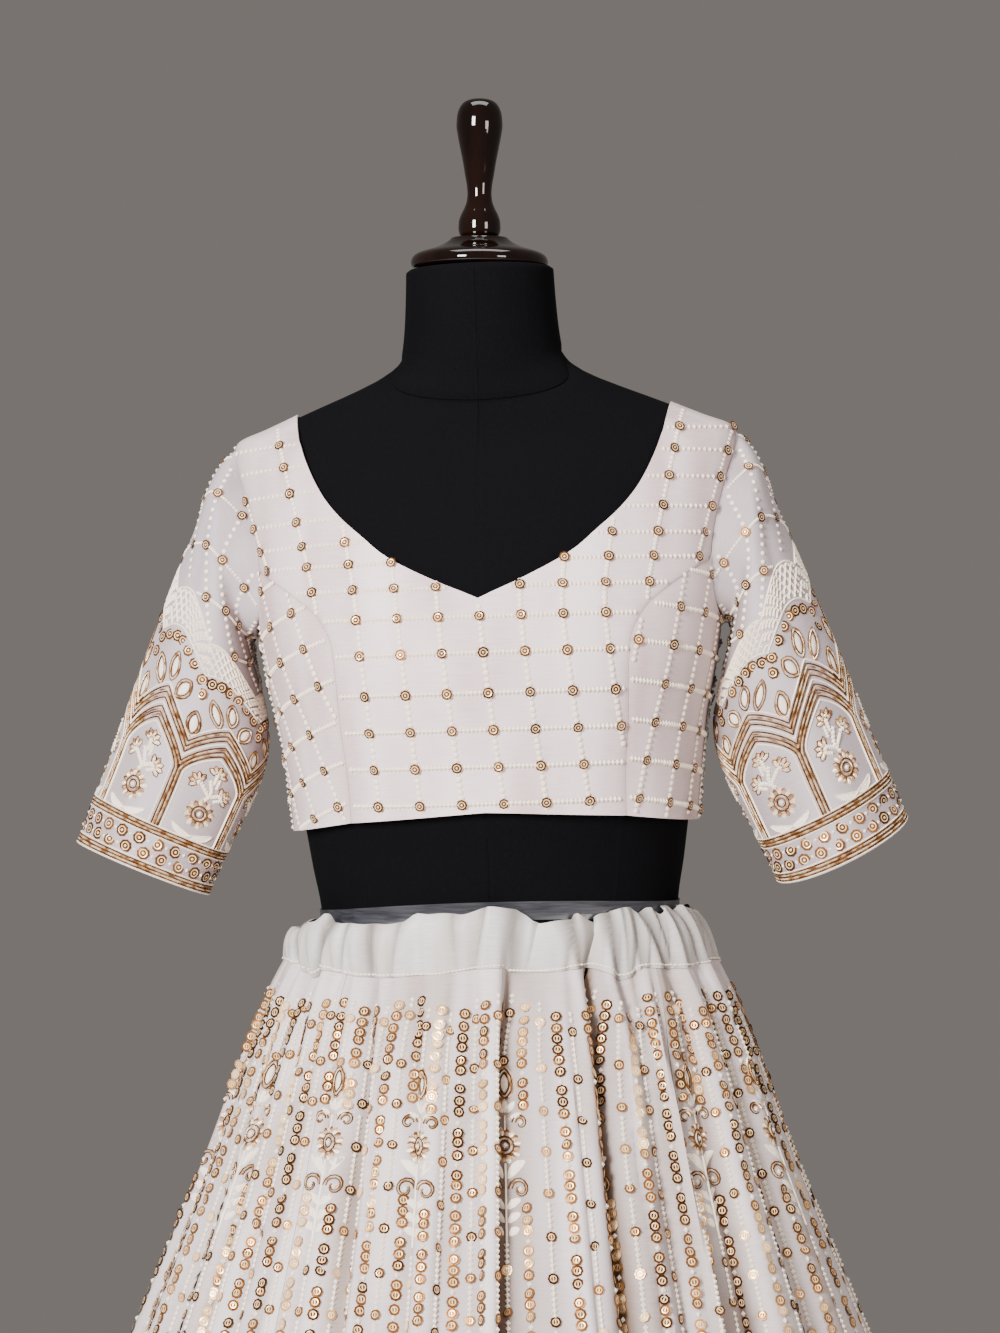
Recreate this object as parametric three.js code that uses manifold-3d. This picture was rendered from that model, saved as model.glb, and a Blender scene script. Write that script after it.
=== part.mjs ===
// A lehenga choli on a dress form: an elbow-sleeved blouse (the choli) and a long gathered skirt with
// a drawstring casing (the lehenga), worn by a padded form with a turned wooden cap, on a pole and a
// round base.
// Millimetres, +Z up, the front of the garment towards -Y. The origin is under the middle of the base.

import * as THREE from 'three';
import { mergeVertices } from 'three/addons/utils/BufferGeometryUtils.js';
import Module from 'manifold-3d';

const wasm = await Module();
wasm.setup();

// ---------------------------------------------------------------------------------------------
// Driving dimensions
// ---------------------------------------------------------------------------------------------

const SEAM_GAP = 0.3;
const DEGREE = Math.PI / 180;

// The padded form stands a little off plumb on its pole, and is turned a little to its own right.
const FORM_BOTTOM = 870;
const FORM_LEAN = 1.8 * DEGREE;
const FORM_TURN = 4 * DEGREE;
const NECK_TOP = 1576;
const NECK_SEAM_HEIGHT = 1502;
const NECK_SEAM_SLOPE = 0.58;

// Sections of the form from the hips to the top of the neck. Width is half the breadth, front and back
// are the depths from the middle, and square is the exponent of the section's curve (2 is an ellipse).
const FORM_SECTIONS = [
  { z: 870, width: 160, front: 92, back: 104, square: 2.2 },
  { z: 886, width: 172, front: 101, back: 115, square: 2.2 },
  { z: 930, width: 175, front: 105, back: 121, square: 2.2 },
  { z: 985, width: 165, front: 103, back: 117, square: 2.2 },
  { z: 1035, width: 149, front: 97, back: 106, square: 2.15 },
  { z: 1078, width: 138, front: 93, back: 96, square: 2.1 },
  { z: 1118, width: 144, front: 97, back: 92, square: 2.1 },
  { z: 1165, width: 151, front: 108, back: 90, square: 2.2 },
  { z: 1195, width: 156, front: 116, back: 90, square: 2.25 },
  { z: 1218, width: 160, front: 122, back: 92, square: 2.3 },
  { z: 1272, width: 171.5, front: 131, back: 98, square: 2.4 },
  { z: 1308, width: 176.5, front: 126, back: 102, square: 2.4 },
  { z: 1338, width: 180.5, front: 115, back: 104, square: 2.35 },
  { z: 1372, width: 184, front: 99, back: 104, square: 2.3 },
  { z: 1411, width: 188.5, front: 80, back: 97, square: 2.2 },
  { z: 1433, width: 191, front: 67, back: 86, square: 2.05 },
  { z: 1443, width: 190, front: 61, back: 79, square: 1.9 },
  { z: 1454.5, width: 169, front: 58, back: 72, square: 1.85 },
  { z: 1466, width: 144, front: 56, back: 66, square: 1.8 },
  { z: 1481, width: 107, front: 55, back: 60, square: 1.75 },
  { z: 1491, width: 84, front: 55, back: 58, square: 1.8 },
  { z: 1499, width: 70, front: 55.5, back: 57, square: 1.9 },
  { z: 1508, width: 62.5, front: 56, back: 57, square: 2 },
  { z: 1546, width: 58, front: 57, back: 57, square: 2 },
  { z: 1590, width: 56, front: 56, back: 56, square: 2 },
];

// The choli. Its panels lie on the form with an ease that grows towards the hem.
const CHOLI_WALL = 1.4;
const CHOLI_EASE = [
  { z: 1140, ease: 8.2 },
  { z: 1165, ease: 6.5 },
  { z: 1200, ease: 4.2 },
  { z: 1250, ease: 2.4 },
  { z: 1300, ease: 2.2 },
  { z: 1345, ease: 2.6 },
  { z: 1400, ease: 2.4 },
  { z: 1440, ease: 3.4 },
  { z: 1462, ease: 1.1 },
  { z: 1480, ease: 1.1 },
];
const HEM_FRONT = 1161;
const HEM_SIDE = 1147;
const HEM_BACK = 1150;
const SHOULDER_TIP = 1442.5;
const STRAP_CORNER = 1466;

// The front neckline: its half width at each height, down to the point of the V.
const NECKLINE = [
  { z: 1318, half: 0 },
  { z: 1332, half: 33 },
  { z: 1352.5, half: 71 },
  { z: 1366, half: 86.5 },
  { z: 1383, half: 105 },
  { z: 1399, half: 118 },
  { z: 1419, half: 129 },
  { z: 1442, half: 138 },
  { z: 1466, half: 144 },
];

// The back neckline, a deep round one, row by row from its lowest point to the strap.
const BACK_NECKLINE = [
  { z: 1392, half: 0 },
  { z: 1393.5, half: 32 },
  { z: 1398, half: 64 },
  { z: 1408, half: 97 },
  { z: 1424, half: 121 },
  { z: 1440, half: 132 },
  { z: 1451, half: 138 },
  { z: 1459, half: 141.5 },
  { z: 1464, half: 143.5 },
  { z: 1466, half: 144 },
];

// The princess seam: its half width at each height, from the hem to the armhole.
const PRINCESS = [
  { z: 1152, half: 100 },
  { z: 1195, half: 103 },
  { z: 1230, half: 107 },
  { z: 1262, half: 108.5 },
  { z: 1286, half: 111 },
  { z: 1307, half: 121 },
  { z: 1325, half: 139 },
  { z: 1345, half: 166 },
];

const ARMHOLE_MIDDLE = 1371;
const ARMHOLE_RISE = SHOULDER_TIP - ARMHOLE_MIDDLE;
const ARMHOLE_FRONT = 21;
const ARMHOLE_BACK = 28;
const ARMHOLE_DROOP = 0.35;
// The princess seam meets the armhole at this turn, and bends towards it over this last share.
const PRINCESS_TURN = 108;
const PRINCESS_BEND = 0.2;

// The back's rows sag towards the side seam, and crowd together under the arm.
const BACK_SAG = 0.9;
const BACK_CROWDING = 1.12;

// The sleeves: rings from the armhole to the cuff. Each has its outermost and innermost point, seen from
// the front, and its depths to the front and back.
const SLEEVE_WALL = 1.3;
const SLEEVE_SEAM = 1.3;
// How far out the cuff swings, and how far its front hangs below its back on either side.
const SLEEVE_SWING = 6;
const CUFF_DROOP = { left: 10, right: -2 };
// How much of the armhole's upper half lies as the shoulder does.
const SLEEVE_HEAD = 0.8;
const SLEEVE_RINGS = [
  { outX: 212, outZ: 1421, inX: 187, inZ: 1291, front: 49, back: 57 },
  { outX: 227, outZ: 1380, inX: 183, inZ: 1269, front: 53, back: 57 },
  { outX: 242, outZ: 1342, inX: 177, inZ: 1243, front: 54, back: 56 },
  { outX: 259, outZ: 1300, inX: 173, inZ: 1217, front: 53, back: 54 },
  { outX: 276, outZ: 1256, inX: 178, inZ: 1189, front: 51, back: 52 },
  { outX: 292, outZ: 1213, inX: 191, inZ: 1160, front: 49, back: 49 },
  { outX: 307, outZ: 1177, inX: 206, inZ: 1129, front: 47, back: 47 },
  { outX: 322, outZ: 1141, inX: 222, inZ: 1097, front: 46, back: 46 },
];

// The skirt: half widths and depths of its crests at each height. It hangs beside the pole's line.
const SKIRT_X = -4.5;
const SKIRT_WALL = 1.6;
const SKIRT_TOP = 1034;
const SKIRT_HEM = 12;
const SKIRT_OUTLINE = [
  { z: 12, width: 522, front: 496, back: 502 },
  { z: 230, width: 468, front: 440, back: 448 },
  { z: 420, width: 411, front: 380, back: 392 },
  { z: 600, width: 349, front: 313, back: 329 },
  { z: 751, width: 288, front: 252, back: 269 },
  { z: 831, width: 255, front: 220, back: 237 },
  { z: 900, width: 227, front: 190, back: 207 },
  { z: 940, width: 212.5, front: 170, back: 187 },
  { z: 970, width: 201.5, front: 154, back: 170 },
  { z: 1009, width: 185, front: 132, back: 146 },
  { z: 1034, width: 171, front: 113, back: 126 },
];
// The flare draws each kali's seams towards the middles of the front and the back, in degrees.
const SKIRT_DRIFT = 18;
const SKIRT_ROWS = [1034, 1000, 930, 830, 670, 460, 240, 12];
const KALI_COUNT = 8;
const KALI_COLUMNS = 14;

// The casing stands up from the skirt's seam as a ruffle. It dips in the troughs and leans in at the
// sides.
const BAND_WALL = 2;
const BAND_HEIGHT = 47;
const BAND_DIP = 6;
const BAND_LEAN_IN = 12;

// The gathers, as troughs round the skirt. Top and hem are their angles in degrees, from the middle of
// the front towards the wearer's left (+X), and deep is how far each sinks at the top and at the hem.
const GATHERS = [
  { top: -83, hem: -78, deep: 8, deepHem: 26 },
  { top: -70, hem: -60, deep: 6, deepHem: 20 },
  { top: -58, hem: -43, deep: 10, deepHem: 26 },
  { top: -47, hem: -33, deep: 6, deepHem: 14 },
  { top: -36, hem: -24, deep: 10, deepHem: 24 },
  { top: -22, hem: -15, deep: 4, deepHem: 10 },
  { top: -8, hem: -6, deep: 5, deepHem: 16 },
  { top: 4.5, hem: 2, deep: 9, deepHem: 22 },
  { top: 14, hem: 9, deep: 4, deepHem: 9 },
  { top: 25, hem: 16, deep: 13, deepHem: 34 },
  { top: 38, hem: 27, deep: 9, deepHem: 20 },
  { top: 50, hem: 40, deep: 6, deepHem: 18 },
  { top: 63, hem: 54, deep: 9, deepHem: 26 },
  { top: 78, hem: 72, deep: 6, deepHem: 20 },
  { top: 98, hem: 94, deep: 8, deepHem: 28 },
  { top: 112, hem: 109, deep: 7, deepHem: 22 },
  { top: 125, hem: 122, deep: 10, deepHem: 30 },
  { top: 141, hem: 139, deep: 6, deepHem: 20 },
  { top: 158, hem: 157, deep: 9, deepHem: 30 },
  { top: 176, hem: 175, deep: 6, deepHem: 22 },
  { top: 193, hem: 193, deep: 10, deepHem: 30 },
  { top: 212, hem: 213, deep: 7, deepHem: 22 },
  { top: 230, hem: 232, deep: 9, deepHem: 30 },
  { top: 248, hem: 251, deep: 6, deepHem: 22 },
  { top: 263, hem: 267, deep: 8, deepHem: 26 },
];
// How fast the gathers spread to their hem places, deepen, and how broad their crests are.
const GATHER_SPREAD = 2.2;
const GATHER_DEEPENING = 0.8;
const GATHER_CREST = 0.8;
// The trough that pulls the casing's edge down by its whole dip.
const GATHER_FULL_DIP = 10;

// The satin tape round the waist of the form rises a little towards the front.
const TAPE_WALL = 1;
const TAPE_EASE = 1;
const TAPE_WIDTH = 14;
const TAPE_FRONT = 1077;
const TAPE_SIDE = 1070;

// The turned wooden cap and finial on the neck.
const CAP_X = -22.3;
const CAP_Z = NECK_TOP + 0.6;
const CAP_SIDES = 40;
const FINIAL_SIDES = 28;
const CAP_PROFILE = [
  { r: 0, z: 0 }, { r: 51, z: 0 }, { r: 53, z: 1.5 }, { r: 53.3, z: 3.5 }, { r: 52, z: 6 },
  { r: 47.5, z: 9 }, { r: 40, z: 12 }, { r: 33, z: 15 }, { r: 27, z: 18 }, { r: 22.5, z: 21.5 },
  { r: 21, z: 23 }, { r: 0, z: 23 },
];
const FINIAL_PROFILE = [
  { r: 0, z: 0 }, { r: 14, z: 0 }, { r: 15.6, z: 2.5 }, { r: 16.4, z: 6 }, { r: 15.4, z: 10 },
  { r: 12, z: 15 }, { r: 9.8, z: 21 }, { r: 9.4, z: 28 }, { r: 9.7, z: 36 }, { r: 10.8, z: 46 },
  { r: 12.6, z: 58 }, { r: 15, z: 70 }, { r: 17, z: 80 }, { r: 18, z: 87 }, { r: 17.4, z: 95 },
  { r: 15.2, z: 101.5 }, { r: 11.5, z: 105.5 }, { r: 6.5, z: 107.4 }, { r: 0, z: 107.8 },
];

// The stand under the skirt.
const POLE_RADIUS = 16;
const POLE_SIDES = 24;
const SOCKET_RADIUS = 30;
const SOCKET_HEIGHT = 60;
const SOCKET_SIDES = 32;
const BASE_SIDES = 64;
const BASE_PROFILE = [
  { r: 0, z: 0 }, { r: 186, z: 0 }, { r: 190, z: 4 }, { r: 190, z: 12 }, { r: 184, z: 17 },
  { r: 110, z: 22 }, { r: 48, z: 30 }, { r: 34, z: 40 }, { r: 30, z: 62 }, { r: 0, z: 62 },
];
const BASE_TOP = BASE_PROFILE[BASE_PROFILE.length - 1].z;

// ---------------------------------------------------------------------------------------------
// Materials
// ---------------------------------------------------------------------------------------------

const finish = (color, roughness, metalness = 0) =>
  new THREE.MeshStandardMaterial({ color, roughness, metalness });
const materials = {
  choli: finish(0xe0d9d4, 0.8),
  skirt: finish(0xd6d2cc, 0.75),
  casing: finish(0xcbc6bf, 0.6),
  jersey: finish(0x131216, 0.9),
  satin: finish(0x16151a, 0.3),
  wood: finish(0x1b0b07, 0.15),
  steel: finish(0x2a2a2c, 0.4, 0.9),
};

// ---------------------------------------------------------------------------------------------
// Curves and surfaces
// ---------------------------------------------------------------------------------------------

// A smooth curve through one column of a table, with no overshoot between the rows.
function column(rows, key, along = 'z') {
  const slopes = rows.slice(1).map((row, i) => (row[key] - rows[i][key]) / (row[along] - rows[i][along]));
  const tangents = rows.map((_, i) => {
    const before = slopes[Math.max(i - 1, 0)];
    const after = slopes[Math.min(i, slopes.length - 1)];
    return before * after <= 0 ? 0 : (2 * before * after) / (before + after);
  });
  return (at) => {
    let i = 0;
    while (i < rows.length - 2 && at > rows[i + 1][along]) i += 1;
    const step = rows[i + 1][along] - rows[i][along];
    const t = THREE.MathUtils.clamp((at - rows[i][along]) / step, 0, 1);
    return (
      rows[i][key] * (1 + 2 * t) * (1 - t) ** 2 +
      rows[i + 1][key] * t * t * (3 - 2 * t) +
      tangents[i] * step * t * (1 - t) ** 2 +
      tangents[i + 1] * step * t * t * (t - 1)
    );
  };
}

const signedPower = (value, power) => Math.sign(value) * Math.abs(value) ** power;

const formWidth = column(FORM_SECTIONS, 'width');
const formFront = column(FORM_SECTIONS, 'front');
const formBack = column(FORM_SECTIONS, 'back');
const formSquare = column(FORM_SECTIONS, 'square');
const choliEase = column(CHOLI_EASE, 'ease');

// A point on the form: angle 0 is the middle of the front, 90 the wearer's left side, 180 the back.
function formPoint(angle, z) {
  const power = 2 / formSquare(z);
  const depth = Math.cos(angle * DEGREE) > 0 ? formFront(z) : formBack(z);
  return new THREE.Vector3(
    formWidth(z) * signedPower(Math.sin(angle * DEGREE), power),
    -depth * signedPower(Math.cos(angle * DEGREE), power),
    z,
  );
}

// The outward direction of a surface at (angle, z), from its slopes on both sides.
const NORMAL_STEP = 2;

function normalOf(surface, angle, z) {
  const round = surface(angle + NORMAL_STEP, z).sub(surface(angle - NORMAL_STEP, z));
  const up = surface(angle, z + NORMAL_STEP).sub(surface(angle, z - NORMAL_STEP));
  return round.cross(up).normalize();
}

const offForm = (angle, z, distance) =>
  formPoint(angle, z).addScaledVector(normalOf(formPoint, angle, z), distance);
const choliOuter = (angle, z) => offForm(angle, z, choliEase(z) + CHOLI_WALL);
const choliInner = (angle, z) => offForm(angle, z, choliEase(z));

// The angle at which the form's front reaches a half width at a height.
function angleAt(half, z) {
  const share = Math.min(half / formWidth(z), 1);
  return Math.asin(share ** (formSquare(z) / 2)) / DEGREE;
}

// ---------------------------------------------------------------------------------------------
// Meshes
// ---------------------------------------------------------------------------------------------

// Two triangles for each cell of a grid whose points are numbered by the function index.
function gridTriangles(rows, columns, index) {
  const triangles = [];
  for (let row = 0; row < rows; row += 1) {
    for (let col = 0; col < columns; col += 1) {
      const [a, b] = [index(row, col), index(row, col + 1)];
      const [c, d] = [index(row + 1, col + 1), index(row + 1, col)];
      triangles.push([a, b, c], [a, c, d]);
    }
  }
  return triangles;
}

function geometryOf(points, faces) {
  const numbers = points.flatMap((p) => [p.x, p.y, p.z]);
  const geometry = new THREE.BufferGeometry();
  geometry.setAttribute('position', new THREE.Float32BufferAttribute(numbers, 3));
  geometry.setIndex(faces.flat());
  return geometry;
}

// A cloth wall: the outer face, the inner face turned over, and a strip along every open edge.
function clothWall(outer, inner, triangles) {
  const count = outer.length;
  const faces = [];
  const open = new Map();
  for (const [a, b, c] of triangles) {
    faces.push([a, b, c], [c + count, b + count, a + count]);
    for (const [from, to] of [[a, b], [b, c], [c, a]]) {
      if (!open.delete(`${to} ${from}`)) open.set(`${from} ${to}`, [from, to]);
    }
  }
  for (const [from, to] of open.values()) {
    const [innerFrom, innerTo] = [from + count, to + count];
    if (outer[to].z > outer[from].z) faces.push([to, from, innerFrom], [to, innerFrom, innerTo]);
    else faces.push([to, from, innerTo], [from, innerFrom, innerTo]);
  }
  return geometryOf([...outer, ...inner], faces);
}

// A closed skin over rings of points, with a fan over the first and the last ring.
function skinOver(rings) {
  const sides = rings[0].length;
  const points = rings.flat();
  const index = (row, col) => row * sides + (col % sides);
  const faces = gridTriangles(rings.length - 1, sides, index);
  const bottom = points.push(middleOf(rings[0])) - 1;
  const top = points.push(middleOf(rings[rings.length - 1])) - 1;
  for (let col = 0; col < sides; col += 1) {
    faces.push([index(0, col + 1), index(0, col), bottom]);
    faces.push([index(rings.length - 1, col), index(rings.length - 1, col + 1), top]);
  }
  return geometryOf(points, faces);
}

function middleOf(ring) {
  const sum = new THREE.Vector3();
  for (const point of ring) sum.add(point);
  return sum.divideScalar(ring.length);
}

const spaced = (from, to, count) =>
  Array.from({ length: count + 1 }, (_, i) => from + ((to - from) * i) / count);

function turned(profile, sides) {
  const geometry = new THREE.LatheGeometry(profile.map(({ r, z }) => new THREE.Vector2(r, z)), sides);
  geometry.deleteAttribute('normal');
  geometry.deleteAttribute('uv');
  return mergeVertices(geometry.rotateX(Math.PI / 2), 1e-4);
}

function solidOf(geometry) {
  const bare = geometry.clone();
  bare.deleteAttribute('normal');
  bare.deleteAttribute('uv');
  const merged = mergeVertices(bare, 1e-4);
  const mesh = new wasm.Mesh({
    numProp: 3,
    vertProperties: new Float32Array(merged.getAttribute('position').array),
    triVerts: new Uint32Array(merged.getIndex().array),
  });
  return new wasm.Manifold(mesh);
}

function geometryFrom(solid) {
  const { vertProperties, triVerts } = solid.getMesh();
  const geometry = new THREE.BufferGeometry();
  geometry.setAttribute('position', new THREE.Float32BufferAttribute(vertProperties, 3));
  geometry.setIndex(Array.from(triVerts));
  return geometry;
}

// ---------------------------------------------------------------------------------------------
// The dress form
// ---------------------------------------------------------------------------------------------

const FORM_SIDES = 48;
const formAngles = spaced(0, 360, FORM_SIDES).slice(0, -1);

// A ring at each section and one halfway to the next.
const formHeights = FORM_SECTIONS.flatMap(({ z }, i) => {
  const above = FORM_SECTIONS[i + 1];
  return above ? [z, (z + above.z) / 2] : [z];
});
const formRings = formHeights.map((z) => formAngles.map((angle) => formPoint(angle, z)));
const formSolid = solidOf(skinOver(formRings));

// A large block whose underside is the plane z = height + slope * y, turned back to plumb by plumb.
const BLOCK = 1200;

function blockAbove(height, slope, plumb = 0) {
  const block = new THREE.BoxGeometry(BLOCK, BLOCK, BLOCK).translate(0, 0, BLOCK / 2);
  block.rotateX(Math.atan(slope)).rotateY(plumb).translate(0, 0, height);
  return solidOf(block);
}

const aboveSeam = blockAbove(NECK_SEAM_HEIGHT, NECK_SEAM_SLOPE);
const aboveSeamGap = blockAbove(NECK_SEAM_HEIGHT + SEAM_GAP, NECK_SEAM_SLOPE);
const aboveNeck = blockAbove(NECK_TOP, 0, FORM_LEAN);
const torsoGeometry = geometryFrom(formSolid.subtract(aboveSeam));
const neckGeometry = geometryFrom(formSolid.intersect(aboveSeamGap).subtract(aboveNeck));

// The tape is a ring that follows the waist, just off it.
function tapeGeometry() {
  const height = (angle) => {
    const frontness = Math.max(Math.cos(angle * DEGREE), 0);
    return TAPE_SIDE + (TAPE_FRONT - TAPE_SIDE) * frontness ** 2;
  };
  const edge = (up, off) => formAngles.map((angle) => offForm(angle, height(angle) + up, off));
  const outer = [edge(0, TAPE_EASE + TAPE_WALL), edge(TAPE_WIDTH, TAPE_EASE + TAPE_WALL)].flat();
  const inner = [edge(0, TAPE_EASE), edge(TAPE_WIDTH, TAPE_EASE)].flat();
  const index = (row, col) => row * FORM_SIDES + (col % FORM_SIDES);
  return clothWall(outer, inner, gridTriangles(1, FORM_SIDES, index));
}

// ---------------------------------------------------------------------------------------------
// The choli
// ---------------------------------------------------------------------------------------------

const necklineHalf = column(NECKLINE, 'half');
const princessHalf = column(PRINCESS, 'half');

function hemHeight(angle) {
  const across = Math.cos(angle * DEGREE);
  return HEM_SIDE + (across > 0 ? HEM_FRONT - HEM_SIDE : HEM_BACK - HEM_SIDE) * across * across;
}

// The armhole at a turn: 0 is the tip of the shoulder, 90 the front, 180 under the arm, 270 the back.
function armhole(turn) {
  const across = Math.sin(turn * DEGREE) * (1 - ARMHOLE_DROOP * Math.cos(turn * DEGREE));
  return {
    angle: 90 - across * (across > 0 ? ARMHOLE_FRONT : ARMHOLE_BACK),
    z: ARMHOLE_MIDDLE + ARMHOLE_RISE * Math.cos(turn * DEGREE),
  };
}

const PRINCESS_END = armhole(PRINCESS_TURN);
const UNDERARM = armhole(180);

// The half width of the princess seam, as an angle round the form, between the hem and the armhole.
function princess(share) {
  const bottom = angleAt(PRINCESS[0].half, PRINCESS[0].z);
  const low = hemHeight(bottom);
  const z = low + (PRINCESS_END.z - low) * share;
  const onTable = angleAt(princessHalf(z), z);
  const miss = PRINCESS_END.angle - angleAt(princessHalf(PRINCESS_END.z), PRINCESS_END.z);
  const bend = Math.max((share - 1) / PRINCESS_BEND + 1, 0);
  return { angle: onTable + miss * bend, z };
}

const mix = (a, b, t) => ({ angle: a.angle + (b.angle - a.angle) * t, z: a.z + (b.z - a.z) * t });

// A patch with four edges, each a function of a share from 0 to 1, filled in smoothly.
function patch(bottom, top, left, right) {
  return (across, up) => {
    const sum = (key) =>
      (1 - up) * bottom(across)[key] + up * top(across)[key] +
      (1 - across) * left(up)[key] + across * right(up)[key] -
      (1 - across) * ((1 - up) * bottom(0)[key] + up * top(0)[key]) -
      across * ((1 - up) * bottom(1)[key] + up * top(1)[key]);
    return { angle: sum('angle'), z: sum('z') };
  };
}

// Lays a patch on the form as a wall, on the wearer's left (side 1) or right (side -1).
function choliPanel(place, rows, columns, side, gapAcross) {
  const outer = [];
  const inner = [];
  for (const up of spaced(0, 1, rows)) {
    for (const across of spaced(0, 1, columns)) {
      const { angle, z } = place(across, up);
      const shift = gapAcross(across);
      outer.push(choliOuter(side * (angle + shift), z));
      inner.push(choliInner(side * (angle + shift), z));
    }
  }
  const index = (row, col) => row * (columns + 1) + col;
  const triangles = gridTriangles(rows, columns, index);
  return clothWall(outer, inner, side > 0 ? triangles : triangles.map((t) => [...t].reverse()));
}

// Each seam's gap is half on either piece, as an angle round the form, at the chest and the shoulder.
const CHEST_RADIUS = 150;
const SHOULDER_RADIUS = 60;
const HALF_GAP = SEAM_GAP / 2 / CHEST_RADIUS / DEGREE;
const HALF_SHOULDER_GAP = SEAM_GAP / 2 / SHOULDER_RADIUS / DEGREE;

// The front between the princess seams is one piece that forks at the V into two straps.
const FRONT_V_ROW = 8;
const STRAP_ROWS = 9;
const FRONT_ROWS = FRONT_V_ROW + STRAP_ROWS;
const FRONT_COLUMNS = 12;

function frontEdges(row) {
  if (row <= FRONT_V_ROW) {
    const share = row / FRONT_V_ROW;
    const z = hemHeight(0) + (NECKLINE[0].z - hemHeight(0)) * share;
    return { left: { angle: 0, z }, right: princess(share) };
  }
  const share = (row - FRONT_V_ROW) / STRAP_ROWS;
  const z = NECKLINE[0].z + (STRAP_CORNER - NECKLINE[0].z) * Math.sin(share * 90 * DEGREE);
  if (row === FRONT_ROWS) {
    const angle = 90 - HALF_SHOULDER_GAP;
    return { left: { angle, z }, right: { angle, z: SHOULDER_TIP } };
  }
  return { left: { angle: angleAt(necklineHalf(z), z), z }, right: armhole(PRINCESS_TURN * (1 - share)) };
}

function frontCentreGeometry() {
  const outer = [];
  const inner = [];
  const numbers = new Map();
  const number = (side, row, col) => {
    const shared = col === 0 && row <= FRONT_V_ROW;
    const key = `${shared ? 0 : side} ${row} ${col}`;
    if (!numbers.has(key)) {
      const { left, right } = frontEdges(row);
      const { angle, z } = mix(left, right, col / FRONT_COLUMNS);
      const shift = row < FRONT_V_ROW && col === FRONT_COLUMNS ? HALF_GAP : 0;
      numbers.set(key, outer.push(choliOuter(side * (angle - shift), z)) - 1);
      inner.push(choliInner(side * (angle - shift), z));
    }
    return numbers.get(key);
  };
  const half = (side) => gridTriangles(FRONT_ROWS, FRONT_COLUMNS, (row, col) => number(side, row, col));
  const triangles = [...half(1), ...half(-1).map((t) => [...t].reverse())];
  return clothWall(outer, inner, triangles);
}

// The front side runs from the princess seam to the side seam, under the armhole.
const hemPoint = (angle) => ({ angle, z: hemHeight(angle) });
const princessFoot = princess(0).angle;
const frontSide = patch(
  (across) => hemPoint(princessFoot + (90 - princessFoot) * across),
  (across) => armhole(PRINCESS_TURN + (180 - PRINCESS_TURN) * across),
  (up) => princess(up),
  (up) => mix(hemPoint(90), UNDERARM, up),
);

// Each half of the back runs from the side seam to the opening down the middle, and up to the shoulder.
const BACK_SIDE_ROWS = 6;
const BACK_NECK_ROWS = BACK_NECKLINE.length - 1;
const BACK_ROWS = BACK_SIDE_ROWS + BACK_NECK_ROWS;
const BACK_COLUMNS = 9;

// The turns round the back of the armhole.
const backTurn = (row) => 180 + 180 * (row / BACK_NECK_ROWS) ** BACK_CROWDING;

function back(across, up) {
  const row = Math.round(up * BACK_ROWS);
  if (row <= BACK_SIDE_ROWS) {
    const share = row / BACK_SIDE_ROWS;
    const middle = mix(hemPoint(180), { angle: 180, z: BACK_NECKLINE[0].z }, share);
    const side = mix(hemPoint(90), UNDERARM, share);
    const { angle } = mix(side, middle, across);
    const { z } = mix(side, middle, across ** (1 + BACK_SAG * share));
    return row === 0 ? hemPoint(angle) : { angle, z };
  }
  const { z, half } = BACK_NECKLINE[row - BACK_SIDE_ROWS];
  if (row === BACK_ROWS) {
    const angle = 90 + HALF_SHOULDER_GAP;
    return mix({ angle, z: SHOULDER_TIP }, { angle, z }, across);
  }
  const neck = { angle: 180 - angleAt(half, z), z };
  return mix(armhole(backTurn(row - BACK_SIDE_ROWS)), neck, across);
}

// A sleeve is one tube from the armhole to the cuff, with a corner wherever a panel has one.
const SIDE_COLUMNS = 6;
const SLEEVE_TURNS = [
  ...spaced(0, PRINCESS_TURN, STRAP_ROWS).slice(0, -1),
  ...spaced(PRINCESS_TURN, 180, SIDE_COLUMNS).slice(0, -1),
  ...BACK_NECKLINE.slice(0, -1).map((_, row) => backTurn(row)),
];
const SLEEVE_SIDES = SLEEVE_TURNS.length;

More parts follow.
